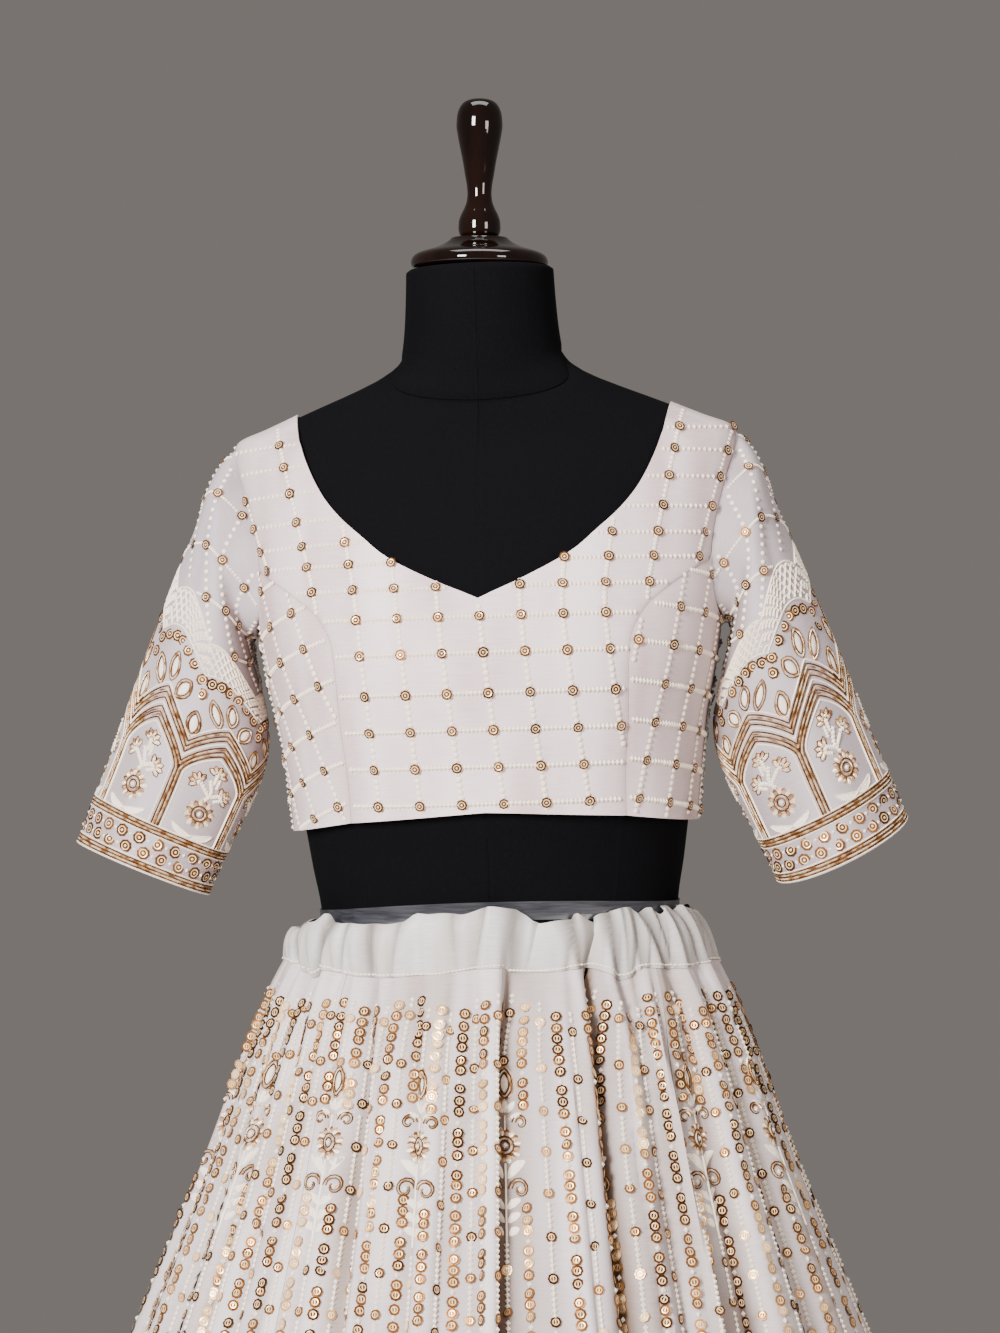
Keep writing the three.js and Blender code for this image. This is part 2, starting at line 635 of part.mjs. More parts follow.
function sleeveGeometry(side, swing, droop) {
  const first = SLEEVE_TURNS.map((turn) => {
    const { angle, z } = armhole(turn);
    return choliOuter(angle, z).add(new THREE.Vector3(SLEEVE_SEAM, 0, 0));
  });
  const rings = SLEEVE_RINGS.map(({ outX, outZ, inX, inZ, front, back: rear }, ring) => {
    const down = (ring + 1) / SLEEVE_RINGS.length;
    const out = swing * down;
    const middle = new THREE.Vector3((outX + inX) / 2 + out, 0, (outZ + inZ) / 2);
    const reach = new THREE.Vector3((outX - inX) / 2, 0, (outZ - inZ) / 2);
    return SLEEVE_TURNS.map((turn) => {
      const across = Math.sin(turn * DEGREE);
      const point = middle.clone().addScaledVector(reach, Math.cos(turn * DEGREE));
      point.y = across > 0 ? -front * across : -rear * across;
      point.z -= droop * across * down ** 2;
      return point;
    });
  });
  const grid = [first, ...rings];
  const index = (row, col) => row * SLEEVE_SIDES + ((col + SLEEVE_SIDES) % SLEEVE_SIDES);
  const outer = grid.flat();
  const inner = outer.map((point, i) => {
    const [row, col] = [Math.floor(i / SLEEVE_SIDES), i % SLEEVE_SIDES];
    const along = outer[index(Math.min(row + 1, grid.length - 1), col)].clone()
      .sub(outer[index(Math.max(row - 1, 0), col)]);
    const round = outer[index(row, col + 1)].clone().sub(outer[index(row, col - 1)]);
    const outward = along.cross(round).normalize();
    if (row === 0) {
      const { angle, z } = armhole(SLEEVE_TURNS[col]);
      const upper = Math.min((1 + Math.cos(SLEEVE_TURNS[col] * DEGREE)) * SLEEVE_HEAD, 1);
      const shoulder = normalOf(formPoint, angle, z);
      outward.multiplyScalar(1 - upper).addScaledVector(shoulder, upper).normalize();
    }
    return point.clone().addScaledVector(outward, -SLEEVE_WALL);
  });
  const mirror = (p) => new THREE.Vector3(side * p.x, p.y, p.z);
  const triangles = gridTriangles(grid.length - 1, SLEEVE_SIDES, index);
  const facing = side > 0 ? triangles.map((t) => [...t].reverse()) : triangles;
  return clothWall(outer.map(mirror), inner.map(mirror), facing);
}

// ---------------------------------------------------------------------------------------------
// The skirt
// ---------------------------------------------------------------------------------------------

const skirtWidth = column(SKIRT_OUTLINE, 'width');
const skirtFront = column(SKIRT_OUTLINE, 'front');
const skirtBack = column(SKIRT_OUTLINE, 'back');

// How far the gathers sink at (angle, z): sharp in the troughs, broad on the crests.
function gatherDepth(angle, z) {
  const drawn = Math.min((skirtWidth(SKIRT_TOP) / skirtWidth(z)) ** GATHER_SPREAD, 1);
  const fall = THREE.MathUtils.clamp((SKIRT_TOP - z) / (SKIRT_TOP - SKIRT_HEM), 0, 1);
  const troughs = GATHERS.map(({ top, hem, deep, deepHem }) => ({
    at: hem + (top - hem) * drawn,
    deep: deep + (deepHem - deep) * fall ** GATHER_DEEPENING,
  }));
  const start = troughs[0].at;
  const wrapped = start + ((((angle - start) % 360) + 360) % 360);
  let i = troughs.length - 1;
  while (troughs[i].at > wrapped) i -= 1;
  const next = troughs[(i + 1) % troughs.length];
  const end = next.at + (i === troughs.length - 1 ? 360 : 0);
  const share = (wrapped - troughs[i].at) / (end - troughs[i].at);
  const deep = troughs[i].deep + (next.deep - troughs[i].deep) * share;
  return deep * (1 - Math.sin(Math.PI * share) ** GATHER_CREST);
}

function skirtPoint(angle, z, inwards = 0) {
  const depth = Math.cos(angle * DEGREE) > 0 ? skirtFront(z) : skirtBack(z);
  const sink = gatherDepth(angle, z) + inwards;
  return new THREE.Vector3(
    SKIRT_X + (skirtWidth(z) - sink) * Math.sin(angle * DEGREE),
    -(depth - sink) * Math.cos(angle * DEGREE),
    z,
  );
}

// Where a line of the cloth that starts at an angle lies lower down.
function drift(angle, z) {
  const flare = 1 - skirtWidth(SKIRT_TOP) / skirtWidth(z);
  return angle - SKIRT_DRIFT * flare * Math.sin(2 * angle * DEGREE);
}

function kaliGeometry(number) {
  const step = 360 / KALI_COUNT;
  const outer = [];
  const inner = [];
  for (const z of SKIRT_ROWS) {
    const gap = SEAM_GAP / 2 / skirtFront(z) / DEGREE;
    const shifts = spaced(gap, -gap, KALI_COLUMNS);
    spaced(step * number, step * (number + 1), KALI_COLUMNS).forEach((angle, col) => {
      outer.push(skirtPoint(drift(angle, z) + shifts[col], z));
      inner.push(skirtPoint(drift(angle, z) + shifts[col], z, SKIRT_WALL));
    });
  }
  const index = (row, col) => row * (KALI_COLUMNS + 1) + col;
  const triangles = gridTriangles(SKIRT_ROWS.length - 1, KALI_COLUMNS, index);
  return clothWall(outer, inner, triangles.map((t) => [...t].reverse()));
}

// The casing's top edge dips a little in every trough.
function casingGeometry() {
  const sides = KALI_COUNT * KALI_COLUMNS;
  const angles = spaced(0, 360, sides).slice(0, -1);
  const rows = [0, 0.5, 1];
  const point = (share, angle, inwards) => {
    const bottom = SKIRT_TOP + SEAM_GAP;
    const dip = BAND_DIP * Math.min(gatherDepth(angle, SKIRT_TOP) / GATHER_FULL_DIP, 1);
    const leanIn = BAND_LEAN_IN * (share * Math.sin(angle * DEGREE)) ** 2;
    const z = bottom + (BAND_HEIGHT - dip) * share;
    return skirtPoint(angle, bottom, inwards + leanIn).setZ(z);
  };
  const outer = rows.flatMap((share) => angles.map((angle) => point(share, angle, 0)));
  const inner = rows.flatMap((share) => angles.map((angle) => point(share, angle, BAND_WALL)));
  const index = (row, col) => row * sides + (col % sides);
  return clothWall(outer, inner, gridTriangles(rows.length - 1, sides, index));
}

// ---------------------------------------------------------------------------------------------
// Assembly
// ---------------------------------------------------------------------------------------------

function part(name, geometry, material, [x, y, z] = [0, 0, 0]) {
  const mesh = new THREE.Mesh(geometry, material);
  mesh.name = name;
  mesh.position.set(x, y, z);
  return mesh;
}

const lehenga = new THREE.Group();

// What leans with the form is built upright about the top of the pole, then leant and turned.
const leaning = new THREE.Group();
leaning.position.set(0, 0, FORM_BOTTOM);
leaning.rotation.set(0, -FORM_LEAN, -FORM_TURN, 'YXZ');
const worn = new THREE.Group();
worn.position.set(0, 0, -FORM_BOTTOM);
leaning.add(worn);
lehenga.add(leaning);

worn.add(part('form_torso', torsoGeometry, materials.jersey));
worn.add(part('form_neck', neckGeometry, materials.jersey));
worn.add(part('waist_tape', tapeGeometry(), materials.satin));
worn.add(part('choli_front_centre', frontCentreGeometry(), materials.choli));
const panelGap = (across) => HALF_GAP * (1 - 2 * across);
for (const [name, side] of [['left', 1], ['right', -1]]) {
  const frontPanel = choliPanel(frontSide, FRONT_V_ROW, SIDE_COLUMNS, side, panelGap);
  const backPanel = choliPanel(back, BACK_ROWS, BACK_COLUMNS, side, panelGap);
  const sleeve = sleeveGeometry(side, -side * SLEEVE_SWING, CUFF_DROOP[name]);
  worn.add(part(`choli_front_side_${name}`, frontPanel, materials.choli));
  worn.add(part(`choli_back_${name}`, backPanel, materials.choli));
  worn.add(part(`choli_sleeve_${name}`, sleeve, materials.choli));
}

lehenga.add(part('skirt_casing', casingGeometry(), materials.casing));
for (let number = 0; number < KALI_COUNT; number += 1) {
  lehenga.add(part(`skirt_kali_${number + 1}`, kaliGeometry(number), materials.skirt));
}

const finialFoot = CAP_Z + CAP_PROFILE[CAP_PROFILE.length - 1].z + SEAM_GAP;
const cap = turned(CAP_PROFILE, CAP_SIDES);
const finial = turned(FINIAL_PROFILE, FINIAL_SIDES);
lehenga.add(part('neck_cap', cap, materials.wood, [CAP_X, 0, CAP_Z]));
lehenga.add(part('neck_finial', finial, materials.wood, [CAP_X, 0, finialFoot]));

const socketTop = FORM_BOTTOM - SOCKET_RADIUS * Math.tan(FORM_LEAN) - SEAM_GAP;
const poleTop = socketTop - SOCKET_HEIGHT - SEAM_GAP;
const poleBottom = BASE_TOP + SEAM_GAP;
const poleLength = poleTop - poleBottom;
const upright = (radius, length, sides) =>
  new THREE.CylinderGeometry(radius, radius, length, sides).rotateX(Math.PI / 2);
const socket = upright(SOCKET_RADIUS, SOCKET_HEIGHT, SOCKET_SIDES);
const pole = upright(POLE_RADIUS, poleLength, POLE_SIDES);
lehenga.add(part('pole_socket', socket, materials.steel, [0, 0, socketTop - SOCKET_HEIGHT / 2]));
lehenga.add(part('stand_pole', pole, materials.steel, [0, 0, poleBottom + poleLength / 2]));
lehenga.add(part('stand_base', turned(BASE_PROFILE, BASE_SIDES), materials.steel));

export default lehenga;
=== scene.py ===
# %% [markdown]
# # A lehenga choli on a dress form
# A lehenga choli is a long gathered skirt (the lehenga) with a short fitted blouse (the choli). This
# one is off-white georgette, worked with cream knots, gold sequins and gold metal thread, and a padded
# dress form wears it. The lesson builds it as its makers do: the form, the choli's panels, the skirt's
# eight kalis and its drawstring casing, and then the embroidery on each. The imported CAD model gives
# every place, so it is loaded first and stays still.

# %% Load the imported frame
import math

import bpy
import numpy as np
from mathutils import Matrix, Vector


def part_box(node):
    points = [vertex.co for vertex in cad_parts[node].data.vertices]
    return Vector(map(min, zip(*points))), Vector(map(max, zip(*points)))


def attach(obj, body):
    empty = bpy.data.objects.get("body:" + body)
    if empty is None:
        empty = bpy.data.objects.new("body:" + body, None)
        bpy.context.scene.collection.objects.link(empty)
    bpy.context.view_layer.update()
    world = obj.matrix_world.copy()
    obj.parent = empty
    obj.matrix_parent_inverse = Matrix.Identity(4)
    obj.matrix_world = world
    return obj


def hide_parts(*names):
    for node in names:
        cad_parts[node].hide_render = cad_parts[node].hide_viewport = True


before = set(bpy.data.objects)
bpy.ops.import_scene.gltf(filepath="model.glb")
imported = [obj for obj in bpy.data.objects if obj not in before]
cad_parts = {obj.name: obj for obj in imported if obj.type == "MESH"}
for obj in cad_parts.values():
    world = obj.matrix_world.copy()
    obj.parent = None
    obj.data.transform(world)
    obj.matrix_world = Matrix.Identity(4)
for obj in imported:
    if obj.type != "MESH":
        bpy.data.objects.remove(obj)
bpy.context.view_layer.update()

# %% [markdown]
# ## Camera
# A portrait lens from three metres away, level with the chest. A long lens keeps the sleeves and the
# skirt close to their true proportions.

# %% Camera
camera_data = bpy.data.cameras.new("portrait_lens")
camera_data.sensor_fit = "VERTICAL"
camera_data.sensor_height = 36
camera_data.lens = 104.5
camera = bpy.data.objects.new("camera", camera_data)
camera.location = (-0.0064, -3.0, 1.2676)
camera.rotation_euler = (math.radians(90), 0, 0)
bpy.context.scene.collection.objects.link(camera)
bpy.context.scene.camera = camera
print("camera", camera.location[:], camera_data.lens)

# %% [markdown]
# ## Small helpers for tables and curves
# A pattern cutter writes a garment down as a short table of measures, and draws smooth curves through
# them. `table` reads such a table and `curve` draws the curve: a cubic that never swings past a
# measure, so a waist stays the narrowest place.

# %% Tables and curves
MM = 0.001


def table(names, text):
    rows = np.array([[float(v) for v in line.split()] for line in text.strip().splitlines()])
    return dict(zip(names.split(), rows.T))


def curve(rows, name, along="z"):
    at, value = rows[along], rows[name]
    slope = np.diff(value) / np.diff(at)
    before = np.concatenate([slope[:1], slope])
    after = np.concatenate([slope, slope[-1:]])
    steady = before * after > 0
    tangent = np.where(steady, 2 * before * after / np.where(steady, before + after, 1), 0)

    def value_at(z):
        z = np.asarray(z, float)
        i = np.clip(np.searchsorted(at, z, side="right") - 1, 0, len(at) - 2)
        step = at[i + 1] - at[i]
        t = np.clip((z - at[i]) / step, 0, 1)
        ends = value[i] * (1 + 2 * t) * (1 - t) ** 2 + value[i + 1] * t * t * (3 - 2 * t)
        return ends + step * t * (1 - t) * (tangent[i] * (1 - t) - tangent[i + 1] * t)

    return value_at


def cosine(degrees):
    return np.cos(np.radians(degrees))


def sine(degrees):
    return np.sin(np.radians(degrees))


def turn_between(angle, place):
    """Degrees from a place to an angle, the short way round."""
    return (angle - place + 180) % 360 - 180


def smooth_step(value, low, high):
    t = np.clip((value - low) / (high - low), 0, 1)
    return t * t * (3 - 2 * t)

# %% [markdown]
# ## The form's measures
# The form is a stack of rounded sections. Angle 0 is the middle of the front, 90 the wearer's left
# side and 180 the middle of the back. Everything worn by the form is worked out upright, in
# millimetres, and then leant and turned with it on its pole.

# %% The form's sections
form_sections = table("z width front back square", """
870    160   92  104  2.2
886    172   101 115  2.2
930    175   105 121  2.2
985    165   103 117  2.2
1035   149   97  106  2.15
1078   138   93  96   2.1
1118   144   97  92   2.1
1165   151   108 90   2.2
1195   156   116 90   2.25
1218   160   122 92   2.3
1272   171.5 131 98   2.4
1308   176.5 126 102  2.4
1338   180.5 115 104  2.35
1372   184   99  104  2.3
1411   188.5 80  97   2.2
1433   191   67  86   2.05
1443   190   61  79   1.9
1454.5 169   58  72   1.85
1466   144   56  66   1.8
1481   107   55  60   1.75
1491   84    55  58   1.8
1499   70    55.5 57  1.9
1508   62.5  56  57   2
1546   58    57  57   2
1590   56    56  56   2
""")
form_width = curve(form_sections, "width")
form_front = curve(form_sections, "front")
form_back = curve(form_sections, "back")
form_square = curve(form_sections, "square")
FORM_BOTTOM = 870
NECK_TOP = 1576
lean = Matrix.Rotation(math.radians(-1.8), 3, "Y") @ Matrix.Rotation(math.radians(-4), 3, "Z")
LEAN = np.array(lean)


def worn(points):
    """Leans and turns points with the form on its pole."""
    foot = np.array([0, 0, FORM_BOTTOM])
    return (points - foot) @ LEAN.T + foot


def stacked(*xyz):
    return np.stack(np.broadcast_arrays(*xyz), -1).astype(float)


def form_point(angle, z):
    power = 2 / form_square(z)
    depth = np.where(cosine(angle) > 0, form_front(z), form_back(z))
    x = form_width(z) * np.sign(sine(angle)) * np.abs(sine(angle)) ** power
    y = -depth * np.sign(cosine(angle)) * np.abs(cosine(angle)) ** power
    return stacked(x, y, z)


def unit(vectors):
    return vectors / np.maximum(np.linalg.norm(vectors, axis=-1, keepdims=True), 1e-9)


def form_normal(angle, z):
    around = form_point(angle + 2, z) - form_point(angle - 2, z)
    up = form_point(angle, z + 2) - form_point(angle, z - 2)
    return unit(np.cross(around, up))


def off_form(angle, z, distance):
    return form_point(angle, z) + form_normal(angle, z) * np.asarray(distance)[..., None]


def angle_at(half, z):
    share = np.clip(half / form_width(z), 0, 1)
    return np.degrees(np.arcsin(share ** (form_square(z) / 2)))


print("waist", round(float(form_width(1078)) * 2), "mm wide")

# %% [markdown]
# ## Meshes from grids
# Cloth is one grid of points for its outer face and one for its inner face, joined by a narrow strip
# along every open edge. The strip closes the mesh, so the cloth has a real thickness. Each piece also
# keeps a map of where its points lay on the flat cloth, in metres: the weave follows that map. A piece
# can also keep a share of painted shade at each point, from how deep in a fold or crease it lies, how
# near a seam, and how far it turns from the light: its colour is painted browner and darker there.

# %% Mesh helpers
def new_object(name, mesh):
    made = bpy.data.objects.new(name, mesh)
    bpy.context.scene.collection.objects.link(made)
    return made


def shaded(mesh):
    """Smooth shading, apart from edges that turn by more than 50 degrees."""
    mesh.polygons.foreach_set("use_smooth", [True] * len(mesh.polygons))
    mesh.set_sharp_from_angle(angle=math.radians(50))
    mesh.update()


def run_along(points):
    """The distance along a line of points, at each of them."""
    return np.concatenate([[0], np.cumsum(np.linalg.norm(np.diff(points, axis=0), axis=1))])


def grid_quads(rows, cols, wrap=False):
    index = np.arange(rows * cols).reshape(rows, cols)
    if wrap:
        index = np.concatenate([index, index[:, :1]], 1)
    quads = [index[:-1, :-1], index[:-1, 1:], index[1:, 1:], index[1:, :-1]]
    return np.stack(quads, -1).reshape(-1, 4)


def cloth_piece(name, patches, material, flip=False):
    """patches: [(outer, inner, flat)] grids in millimetres, rows upwards. Shared edges are sewn."""
    quads, count = [], 0
    for outer, _, _ in patches:
        quads.append(grid_quads(*outer.shape[:2]) + count)
        count += outer.shape[0] * outer.shape[1]
    outer, inner, flat = (
        np.concatenate([patch[i].reshape(-1, patch[i].shape[-1]) for patch in patches])
        for i in range(3)
    )
    _, first, back = np.unique(np.round(outer, 3), axis=0, return_index=True, return_inverse=True)
    outer, inner, flat = outer[first], inner[first], flat[first]
    quads = back.ravel()[np.concatenate(quads)]
    if flip:
        quads = quads[:, ::-1]
    n = len(outer)
    edges = np.stack([quads, np.roll(quads, -1, 1)], -1).reshape(-1, 2)
    twin = np.isin(edges[:, 0] * n + edges[:, 1], edges[:, 1] * n + edges[:, 0])
    start, end = edges[~twin].T
    faces = np.concatenate([quads, quads[:, ::-1] + n, np.stack([end, start, start + n, end + n], -1)])
    mesh = bpy.data.meshes.new(name)
    mesh.from_pydata((np.concatenate([outer, inner]) * MM).tolist(), [], faces.tolist())
    corner = np.empty(len(mesh.loops), np.int32)
    mesh.loops.foreach_get("vertex_index", corner)
    layer = mesh.uv_layers.new(name="Cloth")
    layer.uv.foreach_set("vector", (flat[corner % n, :2] * MM).astype(np.float32).ravel())
    # A third value in the flat map is the share of painted shade: folds, creases, seams and sides turned from
    # the light.
    if flat.shape[1] > 2:
        painted_shade_share = mesh.attributes.new("painted_shade_share", "FLOAT", "POINT")
        painted_shade_share.data.foreach_set("value", np.tile(flat[:, 2], 2).astype(np.float32))
    mesh.materials.append(material)
    shaded(mesh)
    return new_object(name, mesh)


def skin_piece(name, rings, material):
    """A closed skin over rings of points, in millimetres, from the bottom up."""
    rows, sides = rings.shape[:2]
    points = np.concatenate([rings.reshape(-1, 3), rings[:1].mean(1), rings[-1:].mean(1)])
    quads = grid_quads(rows, sides, wrap=True).tolist()
    foot, head, last = rows * sides, rows * sides + 1, (rows - 1) * sides
    for i in range(sides):
        following = (i + 1) % sides
        quads.append([following, i, foot])
        quads.append([last + i, last + following, head])
    mesh = bpy.data.meshes.new(name)
    mesh.from_pydata((points * MM).tolist(), [], quads)
    mesh.materials.append(material)
    shaded(mesh)
    return new_object(name, mesh)


def grid_normals(points):
    """Outward directions of a grid whose rows go up and whose columns go to the viewer's right."""
    across = np.gradient(points, axis=1)
    up = np.gradient(points, axis=0)
    return unit(np.cross(across, up))


def finish_piece(piece, slot, *nodes):
    """Every finished piece rides on the part's only body, and the CAD parts that it stands for are hidden."""
    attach(piece, "root")
    if nodes:
        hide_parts(*nodes)
    faces = sum(len(p.vertices) - 2 for p in piece.data.polygons)
    print(f"{piece.name}: {faces} triangles")
    return piece

# %% [markdown]
# ## Node helpers
# A node tree written in code reads best when each node is one line, so a small class adds nodes and
# joins them. Effects that several materials share (the weave, the metal of the sequins and of the
# metal thread) are node groups with named sockets.

# %% Node helpers
class Tree:
    def __init__(self, nodes):
        self.nodes = nodes

    def add(self, kind, inputs=None, **settings):
        made = self.nodes.nodes.new(kind)
        for name, value in settings.items():
            setattr(made, name, value)
        for name, value in (inputs or {}).items():
            socket = made.inputs[name]
            if isinstance(value, bpy.types.NodeSocket):
                self.join(value, socket)
            else:
                socket.default_value = value
        return made

    def math(self, operation, *values):
        made = self.add("ShaderNodeMath", dict(enumerate(values)), operation=operation)
        return made.outputs[0]

    def join(self, output, socket):
        self.nodes.links.new(output, socket)

    def ramp(self, factor, *stops):
        made = self.add("ShaderNodeValToRGB", {0: factor})
        points = made.color_ramp.elements
        while len(points) < len(stops):
            points.new(0.5)
        for point, (position, colour) in zip(points, stops):
            point.position = position
            point.color = (*colour, 1)
        return made.outputs[0]

    def levels(self, factor, *stops):
        """A ramp of plain values instead of colours."""
        return self.ramp(factor, *[(position, (value,) * 3) for position, value in stops])


def shader_group(name, inputs, outputs):
    """A node group with named sockets. inputs: {name: (type, default)}, outputs: {name: type}."""
    group = bpy.data.node_groups.new(name, "ShaderNodeTree")
    for label, (kind, default) in inputs.items():
        socket = group.interface.new_socket(label, in_out="INPUT", socket_type="NodeSocket" + kind)
        if default is not None:
            socket.default_value = default
    for label, kind in outputs.items():
        group.interface.new_socket(label, in_out="OUTPUT", socket_type="NodeSocket" + kind)
    tree = Tree(group)
    return tree, tree.add("NodeGroupInput").outputs, tree.add("NodeGroupOutput").inputs


def new_material(name):
    material = bpy.data.materials.new(name)
    material.use_nodes = True
    tree = Tree(material.node_tree)
    return material, tree, material.node_tree.nodes["Principled BSDF"]


def set_constants(shader, **constants):
    """Plain values on sockets: Specular_IOR_Level is the socket Specular IOR Level."""
    for socket, value in constants.items():
        shader.inputs[socket.replace("_", " ")].default_value = value


def set_relief(tree, shader, height, strength, distance=0.0004):
    raised = tree.add("ShaderNodeBump", {"Height": height, "Strength": strength, "Distance": distance})
    tree.join(raised.outputs[0], shader.inputs["Normal"])


def read_attribute(tree, name, output="Fac"):
    return tree.add("ShaderNodeAttribute", attribute_name=name).outputs[output]

# %% [markdown]
# ## Weave
# Georgette and crepe are woven from hard-twisted yarns that curl a little, so the cloth has a fine
# pebbled grain rather than a clean grid. The group crosses two sines for the yarns, shifts them by
# noise for the curl, and adds long streaks where a yarn is thicker. Its tint is a slow change of tone.

# %% Weave group
tree, given, out = shader_group(
    "weave",
    {"Cloth": ("Vector", None), "Yarns": ("Float", 2200.0), "Curl": ("Float", 0.5)},
    {"Height": "Float", "Streak": "Float", "Tint": "Float"},
)
place = tree.add("ShaderNodeSeparateXYZ", {0: given["Cloth"]}).outputs
curl = tree.add("ShaderNodeTexNoise", {"Vector": given["Cloth"], "Scale": 900.0, "Detail": 1.0})
shift = tree.math("MULTIPLY", curl.outputs["Fac"], given["Curl"])
turn = tree.math("MULTIPLY", given["Yarns"], math.pi)
warp = tree.math("SINE", tree.math("MULTIPLY_ADD", place[0], turn, shift))
weft = tree.math("SINE", tree.math("MULTIPLY_ADD", place[1], turn, shift))
crossed = tree.math("MULTIPLY", warp, weft)
tree.join(tree.math("MULTIPLY_ADD", crossed, 0.5, curl.outputs["Fac"]), out["Height"])
long_way = tree.add("ShaderNodeVectorMath", {0: given["Cloth"], 1: (60.0, 900.0, 1.0)},
                    operation="MULTIPLY")
streak = tree.add("ShaderNodeTexNoise", {"Vector": long_way.outputs[0], "Scale": 1.0, "Detail": 1.0})
tree.join(streak.outputs["Fac"], out["Streak"])
drop = tree.add("ShaderNodeVectorMath", {0: given["Cloth"], 1: (22.0, 5.0, 1.0)}, operation="MULTIPLY")
tint = tree.add("ShaderNodeTexNoise", {"Vector": drop.outputs[0], "Scale": 1.0, "Detail": 1.5})
tree.join(tint.outputs["Fac"], out["Tint"])


# Painted shade: the colours that cloth is painted towards in its folds, creases and seams, and on sides
# turned from the light.
GEORGETTE_PAINTED_SHADE = (0.125, 0.073, 0.044)
CREPE_PAINTED_SHADE = (0.15, 0.122, 0.105)


def fabric(name, light, deep, yarns=2200.0, bump=0.12, roughness=0.85, sheen=0.04, streaks=0.2,
           painted_shade=GEORGETTE_PAINTED_SHADE):
    """A woven cloth that reads its own Cloth map, and is painted towards its shade colour where its share of
    painted shade is high.
    """
    material, tree, shader = new_material(name)
    flat = tree.add("ShaderNodeUVMap", uv_map="Cloth")
    weave = tree.add("ShaderNodeGroup", node_tree=bpy.data.node_groups["weave"])
    tree.join(flat.outputs[0], weave.inputs["Cloth"])
    weave.inputs["Yarns"].default_value = yarns
    tone = tree.math("MULTIPLY_ADD", weave.outputs["Streak"], streaks, weave.outputs["Tint"])
    colour = tree.ramp(tone, (0.5, light), (0.78, deep))
    # Painted shade: the colour is mixed towards the shade colour by each point's share of painted shade.
    with_painted_shade = tree.add("ShaderNodeMix", {0: read_attribute(tree, "painted_shade_share"), 6: colour, 7: (*painted_shade, 1)},
                      data_type="RGBA")
    tree.join(with_painted_shade.outputs[2], shader.inputs["Base Color"])
    rough = tree.math("MULTIPLY_ADD", weave.outputs["Streak"], 0.2, roughness - 0.1)
    tree.join(rough, shader.inputs["Roughness"])
    height = tree.math("MULTIPLY_ADD", weave.outputs["Streak"], 0.6, weave.outputs["Height"])
    set_relief(tree, shader, height, bump)
    set_constants(shader, Sheen_Weight=sheen, Sheen_Roughness=0.5, Specular_IOR_Level=0.2)
    return material


choli_cloth = fabric("georgette_of_choli", (0.82, 0.67, 0.69), (0.60, 0.45, 0.45))
# Painted shade: the sleeves are the choli's own georgette, painted darker to stand in for the shade on them,
# out at the sides.
painted_shade_sleeve_cloth = fabric("georgette_of_sleeves_in_painted_shade", (0.46, 0.39, 0.41), (0.36, 0.29, 0.305))
skirt_cloth = fabric("georgette_of_skirt", (0.71, 0.635, 0.635), (0.48, 0.39, 0.36))
casing_cloth = fabric("satin_crepe", (0.68, 0.66, 0.655), (0.53, 0.485, 0.46),
                      yarns=3000.0, bump=0.06, roughness=0.42, sheen=0.03, streaks=0.4,
                      painted_shade=CREPE_PAINTED_SHADE)
print("cloths", choli_cloth.name, painted_shade_sleeve_cloth.name, skirt_cloth.name, casing_cloth.name)

# %% [markdown]
# ## Metal sequins and metal thread
# Each sequin is a thin flower-shaped cup, stamped from gold foil, and a bar of thread holds it through the
# middle. The mesh carries a `disc` map (where a point lies on its own sequin) and a `shade` (how bright
# this one is), and each material turns the two into rings of pale and dark gold. The `shade` is painted
# highlight: a sequin that catches the light is painted a bright gold and one that doesn't a brown gold,
# and the brightest pale parts get a painted glint. Metal thread reads the same `shade`, with its own map
# along the thread, for its twist.

# %% Gold group
# The ramp from DARK_GOLD to BRIGHT_GOLD is painted highlight; GLINT_GOLD is a painted glint.
DARK_GOLD = (0.050, 0.016, 0.004)
MID_GOLD = (0.25, 0.095, 0.026)
BRIGHT_GOLD = (1.0, 0.60, 0.26)
PALE_GOLD = (1.0, 0.70, 0.39)
GLINT_GOLD = (1.0, 0.93, 0.83)

tree, given, out = shader_group(
    "gold", {"Shade": ("Float", 0.5), "Pale": ("Float", 0.5), "Glint": ("Float", 0.0)}, {"Colour": "Color"}
)
# Painted highlight: the brighter the shade, the brighter the gold.
painted_highlight_gold = tree.ramp(given["Shade"], (0.0, DARK_GOLD), (0.55, MID_GOLD), (0.95, BRIGHT_GOLD))
both = tree.add("ShaderNodeMix", {0: given["Pale"], 6: painted_highlight_gold, 7: (*PALE_GOLD, 1)}, data_type="RGBA")
lit = tree.add("ShaderNodeMix", {0: given["Glint"], 6: both.outputs[2], 7: (*GLINT_GOLD, 1)},
               data_type="RGBA")
tree.join(lit.outputs[2], out["Colour"])


def own_shade(tree):
    return read_attribute(tree, "shade")


def metal(name, pale, height, brightness=own_shade, glints_from=0.65):
    """Gold whose paleness (0 to 1), height and brightness come from the mesh's own maps; its brightness is
    painted highlight. Its pale parts get a painted glint where the shade is above glints_from."""
    material, tree, shader = new_material(name)
    gold = tree.add("ShaderNodeGroup", node_tree=bpy.data.node_groups["gold"])
    tree.join(brightness(tree), gold.inputs["Shade"])
    paleness = pale(tree)
    tree.join(paleness, gold.inputs["Pale"])
    glints = tree.levels(own_shade(tree), (glints_from, 0.0), (1.0, 1.0))
    tree.join(tree.math("MULTIPLY", paleness, glints), gold.inputs["Glint"])
    tree.join(gold.outputs[0], shader.inputs["Base Color"])
    set_relief(tree, shader, height(tree), 0.6)
    set_constants(shader, Metallic=0.35, Roughness=0.3, Specular_IOR_Level=0.0)
    return material


